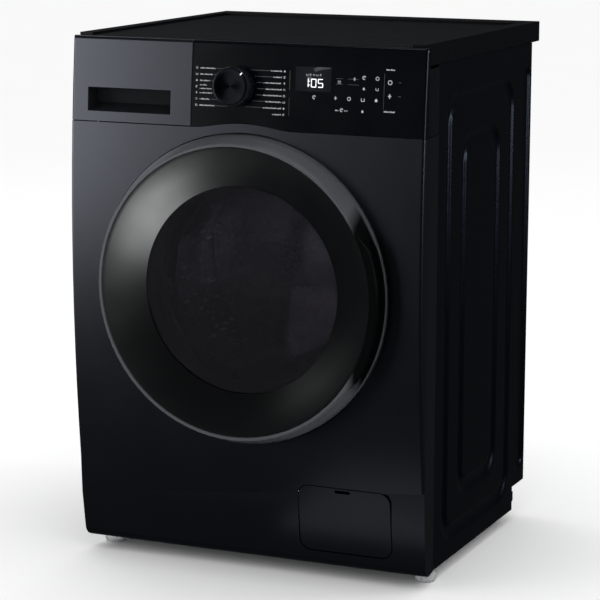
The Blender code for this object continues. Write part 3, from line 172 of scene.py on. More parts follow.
NODE_MATERIALS = {
    GRAPHITE: ["flap_frame"],
    TOP_PAINT: ["worktop_board", "worktop_frame"],
    RING_METAL_AND_SHEEN: ["door_ring"],
    BACK_SHEET: ["back_panel"],
    BLACK_PLASTIC: ["base_tray", "door_inner_frame", "filter_cap", "drain_pump", "knob_encoder"],
    WHITE_PLASTIC: ["dispenser_housing", "drawer_tray", "inlet_valve", "drain_outlet"],
    GREY_PLASTIC: ["tub_front", "tub_rear", "door_lock", "mains_gland", "lifter_1", "lifter_2", "lifter_3",
                   "softener_insert", "damper_cylinder_left", "damper_cylinder_right"],
    GREEN: ["control_board"],
    ZINC: ["front_crossbar", "spring_rail", "door_hinge_bracket", "door_hinge_knuckle", "latch_hook",
           "damper_rod_left",
           "damper_rod_right", "front_bearing", "rear_bearing",
           "motor_pulley"],
    CAST: ["motor", "drum_spider", "drum_pulley"],
    RUBBER: ["sump_hose", "drive_belt"],
    CONCRETE: ["counterweight"],
    BOWL: ["door_bowl"],
    BRASS: ["heater"],
    FOOT_PLASTIC: ["foot_front_left", "foot_front_right", "foot_rear_left", "foot_rear_right"],
}


# ---- mesh helpers ----------------------------------------------------------------------
def piece(name, bm, mat, body, replaced=(), smooth=35.0):
    """A finished object from a bmesh, riding on a body."""
    bmesh.ops.recalc_face_normals(bm, faces=bm.faces[:])
    mesh = bpy.data.meshes.new(name)
    bm.to_mesh(mesh)
    bm.free()
    mesh.polygons.foreach_set("use_smooth", [True] * len(mesh.polygons))
    if smooth:
        mesh.set_sharp_from_angle(angle=math.radians(smooth))
    obj = bpy.data.objects.new(name, mesh)
    scene.collection.objects.link(obj)
    mesh.materials.append(mat)
    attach(obj, body)
    if replaced:
        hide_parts(*replaced)
    return obj


def turned(bm, profile, centre, axis=(0, 1, 0), segments=96):
    """A closed (radius, height) profile turned about an axis through a point."""
    turn = Vector((0, 0, 1)).rotation_difference(Vector(axis)).to_matrix()
    poles = [bm.verts.new(Vector(centre) + turn @ Vector((0, 0, h))) if r == 0 else None for r, h in profile]
    rings = []
    for k in range(segments):
        a = math.tau * k / segments
        rings.append([pole or bm.verts.new(Vector(centre) + turn @ Vector((r * math.cos(a), r * math.sin(a),
                                                                           h)))
                      for pole, (r, h) in zip(poles, profile)])
    for here, there in zip(rings, rings[1:] + rings[:1]):
        count = len(profile)
        for i in range(count):
            j = (i + 1) % count
            corners = list(dict.fromkeys((here[i], here[j], there[j], there[i])))
            if len(corners) > 2:
                bm.faces.new(corners)
    return bm


def softened(points, rounds=2, keep=0.25):
    """Corner cutting on a closed profile."""
    for _ in range(rounds):
        cut = []
        for (r0, y0), (r1, y1) in zip(points, points[1:] + points[:1]):
            cut.append((r0 + (r1 - r0) * keep, y0 + (y1 - y0) * keep))
            cut.append((r1 + (r0 - r1) * keep, y1 + (y0 - y1) * keep))
        points = cut
    return points


def box_on_face(bm, x0, x1, z0, z1, rise=0.00012, sink=0.0002):
    """A thin raised bar on the front's face."""
    corners = [(x0, z0), (x1, z0), (x1, z1), (x0, z1)]
    raised_outline(bm, corners, rise, sink)


def raised_outline(bm, outline, rise=0.00012, sink=0.0002):
    """A thin raised prism over an outline (x, z) on the front's face."""
    front = [bm.verts.new((x, bow(z) - rise, z)) for x, z in outline]
    back = [bm.verts.new((x, bow(z) + sink, z)) for x, z in outline]
    bm.faces.new(front)
    bm.faces.new(back[::-1])
    for i in range(len(front)):
        j = (i + 1) % len(front)
        bm.faces.new((front[i], back[i], back[j], front[j]))


def raised_ring(bm, x, z, outer, inner, sides=16, rise=0.00012, arc=(0.0, 360.0)):
    """A thin raised ring, or part of one, on the front's face."""
    spans = max(2, round(sides * (arc[1] - arc[0]) / 360.0))
    angles = [math.radians(arc[0] + (arc[1] - arc[0]) * k / spans) for k in range(spans + 1)]
    for a, b in zip(angles, angles[1:]):
        corners = ((outer, a), (outer, b), (inner, b), (inner, a))
        raised_outline(bm, [(x + r * math.cos(t), z + r * math.sin(t)) for r, t in corners], rise)


# ---- CAD nodes that stay: clean shading and a finished material ------------------------
def dress(node, mat, bevel=0.0006):
    """Smooth shading, small bevels and a material on a CAD node, whose mesh stays as it is."""
    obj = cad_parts[node]
    obj.data.polygons.foreach_set("use_smooth", [True] * len(obj.data.polygons))
    for slot in obj.material_slots:
        slot.link = "OBJECT"
        slot.material = mat
    weld = obj.modifiers.new("weld", "WELD")
    weld.merge_threshold = 0.000004
    flat = obj.modifiers.new("flat faces", "DECIMATE")
    flat.decimate_type = "DISSOLVE"
    flat.angle_limit = math.radians(0.15)
    if bevel:
        edge = obj.modifiers.new("edges", "BEVEL")
        edge.width = bevel
        edge.segments = 2
        edge.limit_method = "ANGLE"
        edge.angle_limit = math.radians(32)
    shade = obj.modifiers.new("shading", "WEIGHTED_NORMAL")
    shade.weight = 80


# ---- the bowed front pieces: CAD shape, soft edges and the true normals of the bow -----
def bowed_piece(node, name, mat, body, edge=0.0010, pocket_shade=None):
    """A copy of a front node with rounded edges, shaded with the bow's own normals.

    The bevel stays off the lower flare of the side edges. A box turns the faces behind it black: painted
    shade in the handle pocket.
    """
    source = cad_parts[node]
    bm = bmesh.new()
    bm.from_mesh(source.data)
    bmesh.ops.remove_doubles(bm, verts=bm.verts[:], dist=0.000004)
    bmesh.ops.dissolve_limit(bm, angle_limit=math.radians(0.1), verts=bm.verts[:], edges=bm.edges[:])
    flares = [e for e in bm.edges if all(abs(v.co.x) > 0.290 and 0.095 < v.co.z < 0.166 for v in e.verts)]
    sharp = [e for e in bm.edges if len(e.link_faces) == 2 and e.calc_face_angle() > math.radians(34)]
    sharp = [e for e in sharp if e not in flares]
    bmesh.ops.bevel(bm, geom=sharp, offset=edge, segments=2, profile=0.5, affect="EDGES", clamp_overlap=True)
    bmesh.ops.triangulate(bm, faces=[f for f in bm.faces if len(f.verts) > 4])
    mesh = bpy.data.meshes.new(name)
    bm.normal_update()
    bm.verts.index_update()
    bm.faces.index_update()
    parallel = math.cos(math.radians(3.0))
    on_bow = []
    for face in bm.faces:
        centre = face.calc_center_median()
        touches = abs(centre.y - bow(centre.z)) < 0.0010
        on_bow.append(touches and face.normal.dot(bow_normal(centre.z)) > parallel)
    normals = []
    limit = math.cos(math.radians(50))
    for face in bm.faces:
        for corner in face.loops:
            vert = corner.vert
            if on_bow[face.index]:
                normals.append(bow_normal(vert.co.z))
                continue
            near = [f for f in vert.link_faces if f.normal.dot(face.normal) > limit]
            if any(on_bow[f.index] for f in near):
                normals.append(bow_normal(vert.co.z))
            else:
                total = Vector()
                for f in near:
                    total += f.normal * f.calc_area()
                normals.append(total.normalized() if total.length > 0 else face.normal.copy())
    bm.to_mesh(mesh)
    bm.free()
    mesh.polygons.foreach_set("use_smooth", [True] * len(mesh.polygons))
    mesh.normals_split_custom_set([tuple(n) for n in normals])
    obj = bpy.data.objects.new(name, mesh)
    scene.collection.objects.link(obj)
    mesh.materials.append(mat)
    # Faces deep in the handle pocket get black plastic: painted shade for the recess.
    if pocket_shade:
        mesh.materials.append(BLACK_PLASTIC)
        for face in mesh.polygons:
            x, y, z = face.center
            if pocket_shade[0] < x < pocket_shade[1] and pocket_shade[2] < z < pocket_shade[3] and y > bow(z) + 0.0015:
                face.material_index = 1
    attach(obj, body)
    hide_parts(node)
    return obj


# ---- side panels: one pressed skin each ------------------------------------------------
def smooth_step(value):
    """0 to 1 with level ends."""
    value = min(1.0, max(0.0, value))
    return value * value * (3 - 2 * value)


def rounded_distance(y, z, box, radius):
    """Signed distance to a rounded rectangle, negative inside."""
    cy, cz = (box[0] + box[1]) / 2, (box[2] + box[3]) / 2
    qy = abs(y - cy) - (box[1] - box[0]) / 2 + radius
    qz = abs(z - cz) - (box[3] - box[2]) / 2 + radius
    return math.hypot(max(qy, 0), max(qz, 0)) + min(max(qy, qz), 0) - radius


def pressing(y, z):
    """Depth of the pressed grooves at a point of the side."""
    depth = 0.0
    for box, radius in (((-0.148, 0.180, 0.048, 0.768), 0.052), ((-0.078, 0.112, 0.110, 0.700), 0.048)):
        across = abs(rounded_distance(y, z, box, radius) + 0.014)
        depth = max(depth, 0.0040 * smooth_step((0.0140 - across) / 0.0105))
    recess = -rounded_distance(y, z, (0.2155, 0.2615, 0.085, 0.780), 0.020)
    return max(depth, 0.0040 * smooth_step(recess / 0.009))


def lines(spans):
    """Grid lines from (start, end, step) spans."""
    out = []
    for low, high, step in spans:
        count = max(1, round((high - low) / step))
        out += [low + (high - low) * k / count for k in range(count)]
    return out + [spans[-1][1]]


def side_skin(side):
    """One side panel as a pressed sheet with folded edges: 1 for the right one, -1 for the left one."""
    ys = lines([(-0.185, -0.150, 0.012), (-0.150, -0.118, 0.002), (-0.118, -0.080, 0.0095),
                (-0.080, -0.048, 0.002),
                (-0.048, 0.082, 0.010), (0.082, 0.114, 0.002), (0.114, 0.150, 0.009), (0.150, 0.182, 0.002),
                (0.182, 0.206, 0.008), (0.206, 0.214, 0.008), (0.214, 0.228, 0.0018), (0.228, 0.249, 0.004),
                (0.249, 0.263, 0.0018), (0.263, 0.266, 0.003)])
    zs = lines([(0.0205, 0.046, 0.012), (0.046, 0.061, 0.002), (0.061, 0.172, 0.0026), (0.172, 0.610, 0.018),
                (0.610, 0.790, 0.0026), (0.790, 0.8165, 0.012)])
    bm = bmesh.new()
    x = side * SIDE_X
    grid = {}
    for i, y in enumerate(ys):
        for j, z in enumerate(zs):
            if not (y > 0.2065 and z < 0.0605):
                grid[i, j] = bm.verts.new((x - side * pressing(y, z), y, z))
    for i in range(len(ys) - 1):
        for j in range(len(zs) - 1):
            corners = [grid.get(key) for key in ((i, j), (i + 1, j), (i + 1, j + 1), (i, j + 1))]
            if all(corners):
                bm.faces.new(corners)
    border = [e for e in bm.edges if e.is_boundary]
    for depth, inset in ((0.0008, 0.0), (0.0072, 0.0)):
        made = bmesh.ops.extrude_edge_only(bm, edges=border)["geom"]
        bmesh.ops.translate(bm, verts=[g for g in made if isinstance(g, bmesh.types.BMVert)],
                            vec=(-side * depth, 0, 0))
        border = [g for g in made if isinstance(g, bmesh.types.BMEdge) and g.is_boundary]
    name = "side_skin_right" if side > 0 else "side_skin_left"
    node = "right_side_panel" if side > 0 else "left_side_panel"
    obj = piece(name, bm, SIDE_PAINT, "cabinet", (node,), 40)
    wall = obj.modifiers.new("sheet", "SOLIDIFY")
    wall.thickness = 0.0010
    wall.offset = -1.0
    edge = obj.modifiers.new("edges", "BEVEL")
    edge.width = 0.0004
    edge.segments = 2
    edge.limit_method = "ANGLE"
    edge.angle_limit = math.radians(50)
    shade = obj.modifiers.new("shading", "WEIGHTED_NORMAL")
    shade.weight = 60
    return obj


# ---- door: band, window and gasket -----------------------------------------------------
def door_parts():
    """The cover's gloss dish and its tinted window, one behind the other's edge."""
    edge = RIM_RADIUS - 0.0053
    dish, steps = [], 24
    for k in range(steps + 1):
        t = k / steps
        radius = WINDOW_RADIUS + 0.0003 + (edge - WINDOW_RADIUS - 0.0003) * t
        rise = 0.0290 * (0.82 * t + 0.18 * math.sin(t * math.pi / 2)) + 0.0012 * math.sin(t * math.pi)
        dish.append((radius, WINDOW_Y - 0.0002 - rise))
    dish[-1] = (edge, dish[-1][1] + 0.0003)
    profile = dish + [(edge, DOOR_FRONT_Y + 0.0055), (WINDOW_RADIUS + 0.0012, WINDOW_Y + 0.0034),
                      (WINDOW_RADIUS + 0.0003, WINDOW_Y + 0.0030)]
    piece("door_band", turned(bmesh.new(), profile, (0, 0, DOOR_Z), segments=144), BAND, "door",
          ("door_cover",), 40)
    front = [(WINDOW_RADIUS * k / 8, WINDOW_Y - 0.0010 * (1 - (k / 8) ** 2)) for k in range(9)]
    profile = front + [(WINDOW_RADIUS, WINDOW_Y + 0.0030), (0.0, WINDOW_Y + 0.0026)]
    piece("door_window", turned(bmesh.new(), profile, (0, 0, DOOR_Z), segments=144), WINDOW, "door",
          ("door_cover",), 40)


def gasket():
    """Folded rubber bellows between the front panel and the tub."""
    outer = [(0.1810, -0.2345), (0.1935, -0.2345), (0.1935, -0.2315), (0.1863, -0.2315), (0.1863, -0.2289),
             (0.1930, -0.2289),
             (0.1930, -0.2259), (0.1880, -0.2150), (0.2040, -0.1940), (0.1930, -0.1760), (0.1930, -0.1675)]
    inner = [(0.1880, -0.1675), (0.1880, -0.1780), (0.1985, -0.1940), (0.1840, -0.2080), (0.1705, -0.2110),
             (0.1695, -0.2170),
             (0.1810, -0.2200)]
    piece("door_bellows", turned(bmesh.new(), softened(outer + inner), (0, 0, DOOR_Z), segments=96), GASKET,
          "cabinet",
          ("door_gasket",), 60)


def dark_grip():
    """The ring's painted grey sheen is left off the grip's rolled face, inside its outer edge, which turns
    near black.
    """
    tree = RING_METAL_AND_SHEEN.node_tree
    shader = tree.nodes["Principled BSDF"]
    colour = shader.inputs["Base Color"].links[0].from_socket
    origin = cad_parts["door_ring"].matrix_world.inverted() @ Vector((0, 0, DOOR_Z))
    place = tree.nodes.new("ShaderNodeTexCoord")
    offset = tree.nodes.new("ShaderNodeVectorMath")
    offset.operation = "SUBTRACT"
    offset.inputs[1].default_value = origin
    flat = tree.nodes.new("ShaderNodeVectorMath")
    flat.operation = "MULTIPLY"
    flat.inputs[1].default_value = (1, 0, 1)
    reach = tree.nodes.new("ShaderNodeVectorMath")
    reach.operation = "LENGTH"
    across = tree.nodes.new("ShaderNodeSeparateXYZ")
    inside, right = tree.nodes.new("ShaderNodeMapRange"), tree.nodes.new("ShaderNodeMapRange")
    for node, low, high in ((inside, 0.2428, 0.2412), (right, 0.190, 0.204)):
        node.inputs["From Min"].default_value, node.inputs["From Max"].default_value = low, high
    both = tree.nodes.new("ShaderNodeMath")
    both.operation = "MULTIPLY"
    mix = tree.nodes.new("ShaderNodeMix")
    mix.data_type = "RGBA"
    # Near black where the painted grey sheen is taken off the grip's rolled face.
    mix.inputs[7].default_value = (0.004, 0.0045, 0.005, 1.0)
    tree.links.new(place.outputs["Object"], offset.inputs[0])
    tree.links.new(offset.outputs["Vector"], flat.inputs[0])
    tree.links.new(flat.outputs["Vector"], reach.inputs[0])
    tree.links.new(offset.outputs["Vector"], across.inputs["Vector"])
    tree.links.new(reach.outputs["Value"], inside.inputs["Value"])
    tree.links.new(across.outputs["X"], right.inputs["Value"])
    tree.links.new(inside.outputs["Result"], both.inputs[0])
    tree.links.new(right.outputs["Result"], both.inputs[1])
    tree.links.new(both.outputs["Value"], mix.inputs[0])
    tree.links.new(colour, mix.inputs[6])
    tree.links.new(mix.outputs[2], shader.inputs["Base Color"])


# ---- drum: perforated stainless wall ---------------------------------------------------
def drum():
    """Perforated drum wall with its rolled front lip and stepped rear plate."""
    bm = bmesh.new()
    across, wall_rows = 90, 14
    y0, y1 = DRUM_FRONT_Y + 0.030, DRUM_BACK_Y - 0.008
    sheet = 0.0008

    def spot(angle, y, radius=DRUM_RADIUS - 0.0004):
        return bm.verts.new((radius * math.cos(angle), y, DOOR_Z + radius * math.sin(angle)))

    step, rise = math.tau / across, (y1 - y0) / wall_rows
    lattice = [[spot(step * i, y0 + rise * j) for i in range(across)] for j in range(wall_rows + 1)]
    for j in range(wall_rows):
        for i in range(across):
            corners = [lattice[j][i], lattice[j][(i + 1) % across], lattice[j + 1][(i + 1) % across],
                       lattice[j + 1][i]]
            if (i + j) % 2 or i % 30 in (13, 14, 15, 16):
                bm.faces.new(corners)
                continue
            hole = []
            for k in range(8):
                a = math.tau * (k + 0.5) / 8 + math.pi
                hole.append(spot(step * (i + 0.5) + 0.0026 * math.cos(a) / DRUM_RADIUS,
                                 y0 + rise * (j + 0.5) + 0.0026 * math.sin(a)))
            for k in range(4):
                bm.faces.new((corners[k], corners[(k + 1) % 4], hole[(2 * k + 2) % 8], hole[2 * k + 1]))
                bm.faces.new((corners[k], hole[2 * k + 1], hole[2 * k]))
    front = [(DRUM_RADIUS - 0.0004, y0 - 0.004), (DRUM_RADIUS - 0.0012, y0 - 0.007),
             (DRUM_RADIUS - 0.0105, DRUM_FRONT_Y + 0.0156),
             (0.1800, DRUM_FRONT_Y + 0.0008), (0.1760, DRUM_FRONT_Y + 0.0004),
             (0.1735, DRUM_FRONT_Y + 0.0014)]
    rear = [(DRUM_RADIUS - 0.0004, y1 + 0.004), (DRUM_RADIUS - 0.0035, DRUM_BACK_Y - 0.0012),
            (DRUM_RADIUS - 0.010, DRUM_BACK_Y - 0.0005),
            (0.195, DRUM_BACK_Y - 0.0005), (0.190, DRUM_BACK_Y - 0.0030), (0.120, DRUM_BACK_Y - 0.0030),
            (0.112, DRUM_BACK_Y - 0.0060), (0.060, DRUM_BACK_Y - 0.0060), (0.048, DRUM_BACK_Y - 0.0020),
            (0.0, DRUM_BACK_Y - 0.0020)]
    for start, profile in ((lattice[0], front), (lattice[-1], rear)):
        previous = start
        for radius, y in profile:
            if radius == 0:
                hub = bm.verts.new((0, y, DOOR_Z))
                for i in range(across):
                    bm.faces.new((previous[i], previous[(i + 1) % across], hub))
                break
            ring = [spot(step * i, y, radius) for i in range(across)]
            for i in range(across):
                bm.faces.new((previous[i], previous[(i + 1) % across], ring[(i + 1) % across], ring[i]))
            previous = ring
    obj = piece("drum_shell", bm, STEEL, "drum", ("drum",), 50)
    wall = obj.modifiers.new("sheet", "SOLIDIFY")
    wall.thickness = sheet
    wall.offset = 0.0
    return obj


# ---- suspension springs: copies of the CAD springs, finished ---------------------------
def springs():
    """The two suspension springs, stretched between the tub and the cabinet."""
    for side in ("left", "right"):
        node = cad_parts["suspension_spring_" + side]
        mesh = node.data.copy()
        mesh.transform(node.matrix_world)
        mesh.materials.clear()
        mesh.materials.append(ZINC)
        mesh.polygons.foreach_set("use_smooth", [True] * len(mesh.polygons))
        mesh.polygons.foreach_set("material_index", [0] * len(mesh.polygons))
        mesh.set_sharp_from_angle(angle=math.radians(50))
        obj = bpy.data.objects.new("spring_coil_" + side, mesh)
        scene.collection.objects.link(obj)
        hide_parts("suspension_spring_" + side)
        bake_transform(obj)


# ---- programme knob --------------------------------------------------------------------
def knob():
    """Programme knob: a plain skirt, a spun face set into it and a lit pointer."""
    axis = bow_normal(KNOB_Z)
    centre = Vector((KNOB_X, bow(KNOB_Z), KNOB_Z))
    turn = Vector((0, 0, 1)).rotation_difference(axis).to_matrix().to_4x4()
    r, h = KNOB_RADIUS, KNOB_HEIGHT
    body_profile = [(0.0, 0.0006), (0.0055, 0.0006), (0.0055, -0.0115), (0.0, -0.0115)]
    skirt = [(r - 0.0026, 0.0006), (r - 0.0008, 0.0010), (r, 0.0022), (r, h - 0.0034),
             (r - 0.0004, h - 0.0016), (r - 0.0013, h - 0.0005),
             (r - 0.0019, h - 0.0004), (r - 0.0020, h - 0.0012), (r - 0.0020, h - 0.0060), (0.0, h - 0.0060),
             (0.0, 0.0006)]
    bm = turned(bmesh.new(), skirt, (0, 0, 0), (0, 0, 1), 96)
    turned(bm, body_profile[1:3] + [(0.0, -0.0115), (0.0, 0.0006)], (0, 0, 0), (0, 0, 1), 32)
    base = piece("knob_body", bm, KNOB_SIDE, "knob", (), 38)
    face = [(0.0, h - 0.0016), (0.010, h - 0.0015), (r - 0.0080, h - 0.0011), (r - 0.0034, h - 0.0005),
            (r - 0.0026, h - 0.0006),
            (r - 0.0022, h - 0.0010), (r - 0.0022, h - 0.0050), (0.0, h - 0.0050)]
    cap = piece("knob_face", turned(bmesh.new(), face, (0, 0, 0), (0, 0, 1), 96), KNOB_FACE, "knob",
                ("programme_knob",), 38)
    tree = KNOB_FACE.node_tree
    tangent = tree.nodes.new("ShaderNodeTangent")
    tangent.direction_type = "RADIAL"
    tangent.axis = "Z"
    tree.links.new(tangent.outputs["Tangent"], tree.nodes["Principled BSDF"].inputs["Tangent"])
    bm = bmesh.new()
    outline = [(-0.0007, r - 0.0062), (0.0007, r - 0.0062), (0.0007, r - 0.0016), (-0.0007, r - 0.0016)]
    low = [bm.verts.new((x, y, h - 0.0030)) for x, y in outline]
    high = [bm.verts.new((x, y, h + 0.0001)) for x, y in outline]
    bm.faces.new(low[::-1])
    bm.faces.new(high)
    for i in range(4):
        bm.faces.new((low[i], low[(i + 1) % 4], high[(i + 1) % 4], high[i]))
    bmesh.ops.rotate(bm, verts=bm.verts[:], cent=(0, 0, 0), matrix=Matrix.Rotation(math.radians(-42), 3, "Z"))
    pointer = piece("knob_pointer", bm, LIT, "knob", (), 30)
    for obj in (base, cap, pointer):
        obj.matrix_world = Matrix.Translation(centre) @ turn
    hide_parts("programme_knob")


# ---- panel print and display -----------------------------------------------------------
def word(bm, x0, x1, z, height=0.0019, seed=1):
    """A run of small bars that stands for a printed legend, with no lettering."""
    x, k = x0, seed
    while x < x1 - 0.0006:
        k += 1
        wide = (0.0007, 0.0011, 0.0009, 0.0013)[k * 5 % 4]
        tall = height * (0.66, 0.92, 0.66, 1.0, 0.74)[k * 7 % 5]
        box_on_face(bm, x, min(x1, x + wide), z - height / 2, z - height / 2 + tall)
        x += wide + (0.0004 if k % 6 else 0.0014)


def digit(bm, x, z, width, height, lit):
    """Seven-segment digit: lit is a set of segment letters a-g."""
    t = 0.0013
    m = z + height / 2
    inner, outer = x + t * 0.6, x + width - t * 0.6
    low, high = (z + t * 0.3, m - t * 0.3), (m + t * 0.3, z + height - t * 0.3)
    bars = {
        "a": (inner, outer, z + height - t, z + height),
        "g": (inner, outer, m - t / 2, m + t / 2),
        "d": (inner, outer, z, z + t),
        "f": (x, x + t, *high),
        "b": (x + width - t, x + width, *high),
        "e": (x, x + t, *low),
        "c": (x + width - t, x + width, *low),
    }
    for key in lit:
        box_on_face(bm, *bars[key], rise=0.0003)


def icon(bm, x, z, kind, size=0.0032):
    """A small generic symbol."""
    if kind == 0:
        raised_ring(bm, x, z, size, size * 0.68, 14)
    elif kind == 1:
        box_on_face(bm, x - size, x + size, z - size * 0.9, z - size * 0.55)
        box_on_face(bm, x - size, x - size * 0.65, z - size * 0.9, z + size * 0.7)
        box_on_face(bm, x + size * 0.65, x + size, z - size * 0.9, z + size * 0.7)
    elif kind == 2:
        raised_outline(bm, [(x, z + size), (x + size * 0.8, z - size * 0.1),
                            (x + size * 0.55, z - size * 0.8), (x - size * 0.55, z - size * 0.8),
                            (x - size * 0.8, z - size * 0.1)])
    elif kind == 3:
        raised_ring(bm, x, z, size, size * 0.62, 14, arc=(20, 300))
        box_on_face(bm, x - size * 0.12, x + size * 0.12, z - size * 0.1, z + size * 0.55)
    elif kind == 4:
        box_on_face(bm, x - size * 0.22, x + size * 0.22, z - size, z + size)
        box_on_face(bm, x - size * 0.8, x + size * 0.8, z - size * 0.2, z + size * 0.2)
    else:
        box_on_face(bm, x - size, x + size, z + size * 0.35, z + size * 0.65)
        box_on_face(bm, x - size, x + size, z - size * 0.65, z - size * 0.35)


def knob_clearance(z):
    """How far from the knob's axis a printed line at a height has to stop."""
    if abs(z - KNOB_Z) < KNOB_RADIUS + 0.003:
        return math.sqrt(max(0.0, (KNOB_RADIUS + 0.004) ** 2 - (z - KNOB_Z) ** 2))
    return 0.010


def panel_print():
    """Printed legends, the lit display and its glass, all without lettering."""
    left, right, dim, lit = bmesh.new(), bmesh.new(), bmesh.new(), bmesh.new()
    rows = (0.8030, 0.7935, 0.7838, 0.7742, 0.7650, 0.7555, 0.7458)
    for k, z in enumerate(rows):
        icon(left, -0.0800, z, k % 6, 0.0018)
        end = -0.0490 - 0.004 * (k % 3)
        if k == 3:
            word(left, -0.0745, -0.0630, z + 0.0028, 0.0018, 3)
            word(left, -0.0745, -0.0530, z - 0.0028, 0.0018, 5)
        else:
            word(left, -0.0745, end, z, 0.0021, k)
        reach = knob_clearance(z)
        box_on_face(dim, end + 0.002, KNOB_X - reach, z - 0.0003, z + 0.0003)
    rows = (0.8030, 0.7937, 0.7845, 0.7750, 0.7655, 0.7560, 0.7465, 0.7370)
    for k, z in enumerate(rows):
        icon(right, 0.0680, z, (k + 2) % 6, 0.0018)
        start = 0.0330 + 0.004 * (k % 2) + (0.012 if k in (0, 1, 7) else 0.0)
        word(right, start, 0.0640, z, 0.0021, k + 3)
        if k < 7:
            reach = knob_clearance(z)
            box_on_face(dim, KNOB_X + reach, start - 0.002, z - 0.0003, z + 0.0003)
    box_on_face(dim, 0.0765, 0.0769, 0.7360, 0.8040)
    digit(lit, 0.1068, 0.7807, 0.0013, 0.0131, {"b", "c"})
    digit(lit, 0.1120, 0.7807, 0.0088, 0.0131, {"a", "b", "c", "d", "e", "f"})
    digit(lit, 0.1232, 0.7807, 0.0088, 0.0131, {"a", "f", "g", "c", "d"})
    box_on_face(lit, 0.1090, 0.1102, 0.7835, 0.7848, 0.0003)
    box_on_face(lit, 0.1090, 0.1102, 0.7890, 0.7903, 0.0003)
    for k, x in enumerate((0.1055, 0.1110, 0.1165, 0.1220, 0.1275)):
        icon(right, x, 0.7995, (k * 2 + 1) % 6, 0.0016)
    for x, z, kind, size in ((0.1585, 0.7905, 5, 0.0026), (0.1830, 0.7958, 4, 0.0026),
                             (0.1985, 0.7985, 3, 0.0030), (0.2200, 0.7980, 0, 0.0030),
                             (0.1985, 0.7820, 2, 0.0024), (0.2200, 0.7820, 1, 0.0024),
                             (0.1180, 0.7660, 3, 0.0030),
                             (0.1530, 0.7660, 4, 0.0028), (0.1750, 0.7660, 0, 0.0030),
                             (0.1975, 0.7655, 1, 0.0030), (0.2190, 0.7655, 2, 0.0030),
                             (0.2405, 0.7930, 0, 0.0036), (0.2405, 0.7725, 4, 0.0034),
                             (0.1975, 0.7480, 2, 0.0024)):
        icon(right, x, z, kind, size)
    word(right, 0.1530, 0.1590, 0.7480, 0.0020, 2)
    icon(right, 0.1635, 0.7485, 3, 0.0028)
    word(right, 0.1680, 0.1740, 0.7480, 0.0020, 4)
    word(right, 0.2320, 0.2500, 0.7495, 0.0024, 6)
    word(right, 0.2340, 0.2480, 0.8120, 0.0024, 8)
    box_on_face(dim, 0.2310, 0.2313, 0.7520, 0.8060)
    box_on_face(dim, 0.2545, 0.2585, 0.7930, 0.7936)
    box_on_face(dim, 0.2545, 0.2585, 0.7725, 0.7731)
    for z in (0.7955, 0.7870):
        box_on_face(dim, 0.1530, 0.1640, z, z + 0.0004)
        box_on_face(dim, 0.1720, 0.1900, z, z + 0.0004)
    piece("legend_left", left, MARKS, "cabinet", (), 0)
    piece("legend_right", right, MARKS, "cabinet", (), 0)
    piece("legend_lines", dim, MARKS_DIM, "cabinet", (), 0)
    piece("display_segments", lit, LIT, "cabinet", (), 0)
    bm = bmesh.new()
    outline = [(0.0860, 0.7745), (0.1450, 0.7745), (0.1450, 0.8115), (0.0860, 0.8115)]
    raised_outline(bm, outline, 0.00006)
    piece("display_glass", bm, DISPLAY, "cabinet", (), 0)


# ---- screws on the back and under the worktop's rear edge ------------------------------
def screws():
    """Pan-head screws around the back panel."""
    bm = bmesh.new()
    lo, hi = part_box("back_panel")
    flat_y = 0.2673
    places = [(x, z) for z in (lo.z + 0.012, hi.z - 0.012) for x in (-0.262, -0.09, 0.09, 0.262)]
    places += [(x, z) for x in (-0.266, 0.266) for z in (0.30, 0.56)]
    head = [(0.0, -0.0002), (0.0042, -0.0002), (0.0046, 0.0004), (0.0038, 0.0018), (0.0, 0.0024)]
    for x, z in places:
        turned(bm, head, (x, flat_y, z), (0, 1, 0), 16)
    piece("back_screws", bm, ZINC, "cabinet", (), 30)


bowed_piece("front_panel", "front_sheet", GRAPHITE, "cabinet")
bowed_piece("control_panel", "fascia", PIANO, "cabinet")
# The drawer's handle pocket is painted black: painted shade for the recess.
bowed_piece("drawer_front", "drawer_face", GRAPHITE, "detergent_drawer",
            pocket_shade=(-0.270, -0.124, 0.728, 0.770))
bowed_piece("service_flap", "filter_door", GRAPHITE, "flap", 0.0003)
side_skin(1)
side_skin(-1)
door_parts()
dark_grip()
gasket()
drum()
springs()
knob()
panel_print()
screws()
for mat, nodes in NODE_MATERIALS.items():
    for node in nodes:
        dress(node, mat, 0.0 if node.startswith(("drive_belt", "door_bowl")) else 0.0005)

# ---- floor, light and camera -----------------------------------------------------------
floor_mesh = bpy.data.meshes.new("floor")
floor_mesh.from_pydata([(-40, -40, 0), (40, -40, 0), (40, 40, 0), (-40, 40, 0)], [], [(0, 1, 2, 3)])
floor = bpy.data.objects.new("floor", floor_mesh)
scene.collection.objects.link(floor)
floor_mesh.materials.append(material("pale floor", (0.90, 0.90, 0.90), 0.85, 0.0, 0.004, 0.02, 0.5,
                                     Specular_IOR_Level=0.0))
floor.visible_glossy = False

world = bpy.data.worlds.new("studio")
scene.world = world
world.use_nodes = True
tree = world.node_tree
tree.nodes.clear()
path = tree.nodes.new("ShaderNodeLightPath")
ambient = tree.nodes.new("ShaderNodeBackground")
ambient.inputs["Color"].default_value = (1.0, 1.0, 1.0, 1.0)
ambient.inputs["Strength"].default_value = 1.05
dark = tree.nodes.new("ShaderNodeBackground")
dark.inputs["Color"].default_value = (0.85, 0.92, 1.0, 1.0)
dark.inputs["Strength"].default_value = 0.025
mix = tree.nodes.new("ShaderNodeMixShader")
out = tree.nodes.new("ShaderNodeOutputWorld")
tree.links.new(path.outputs["Is Glossy Ray"], mix.inputs["Fac"])
tree.links.new(ambient.outputs["Background"], mix.inputs[1])
tree.links.new(dark.outputs["Background"], mix.inputs[2])
tree.links.new(mix.outputs["Shader"], out.inputs["Surface"])


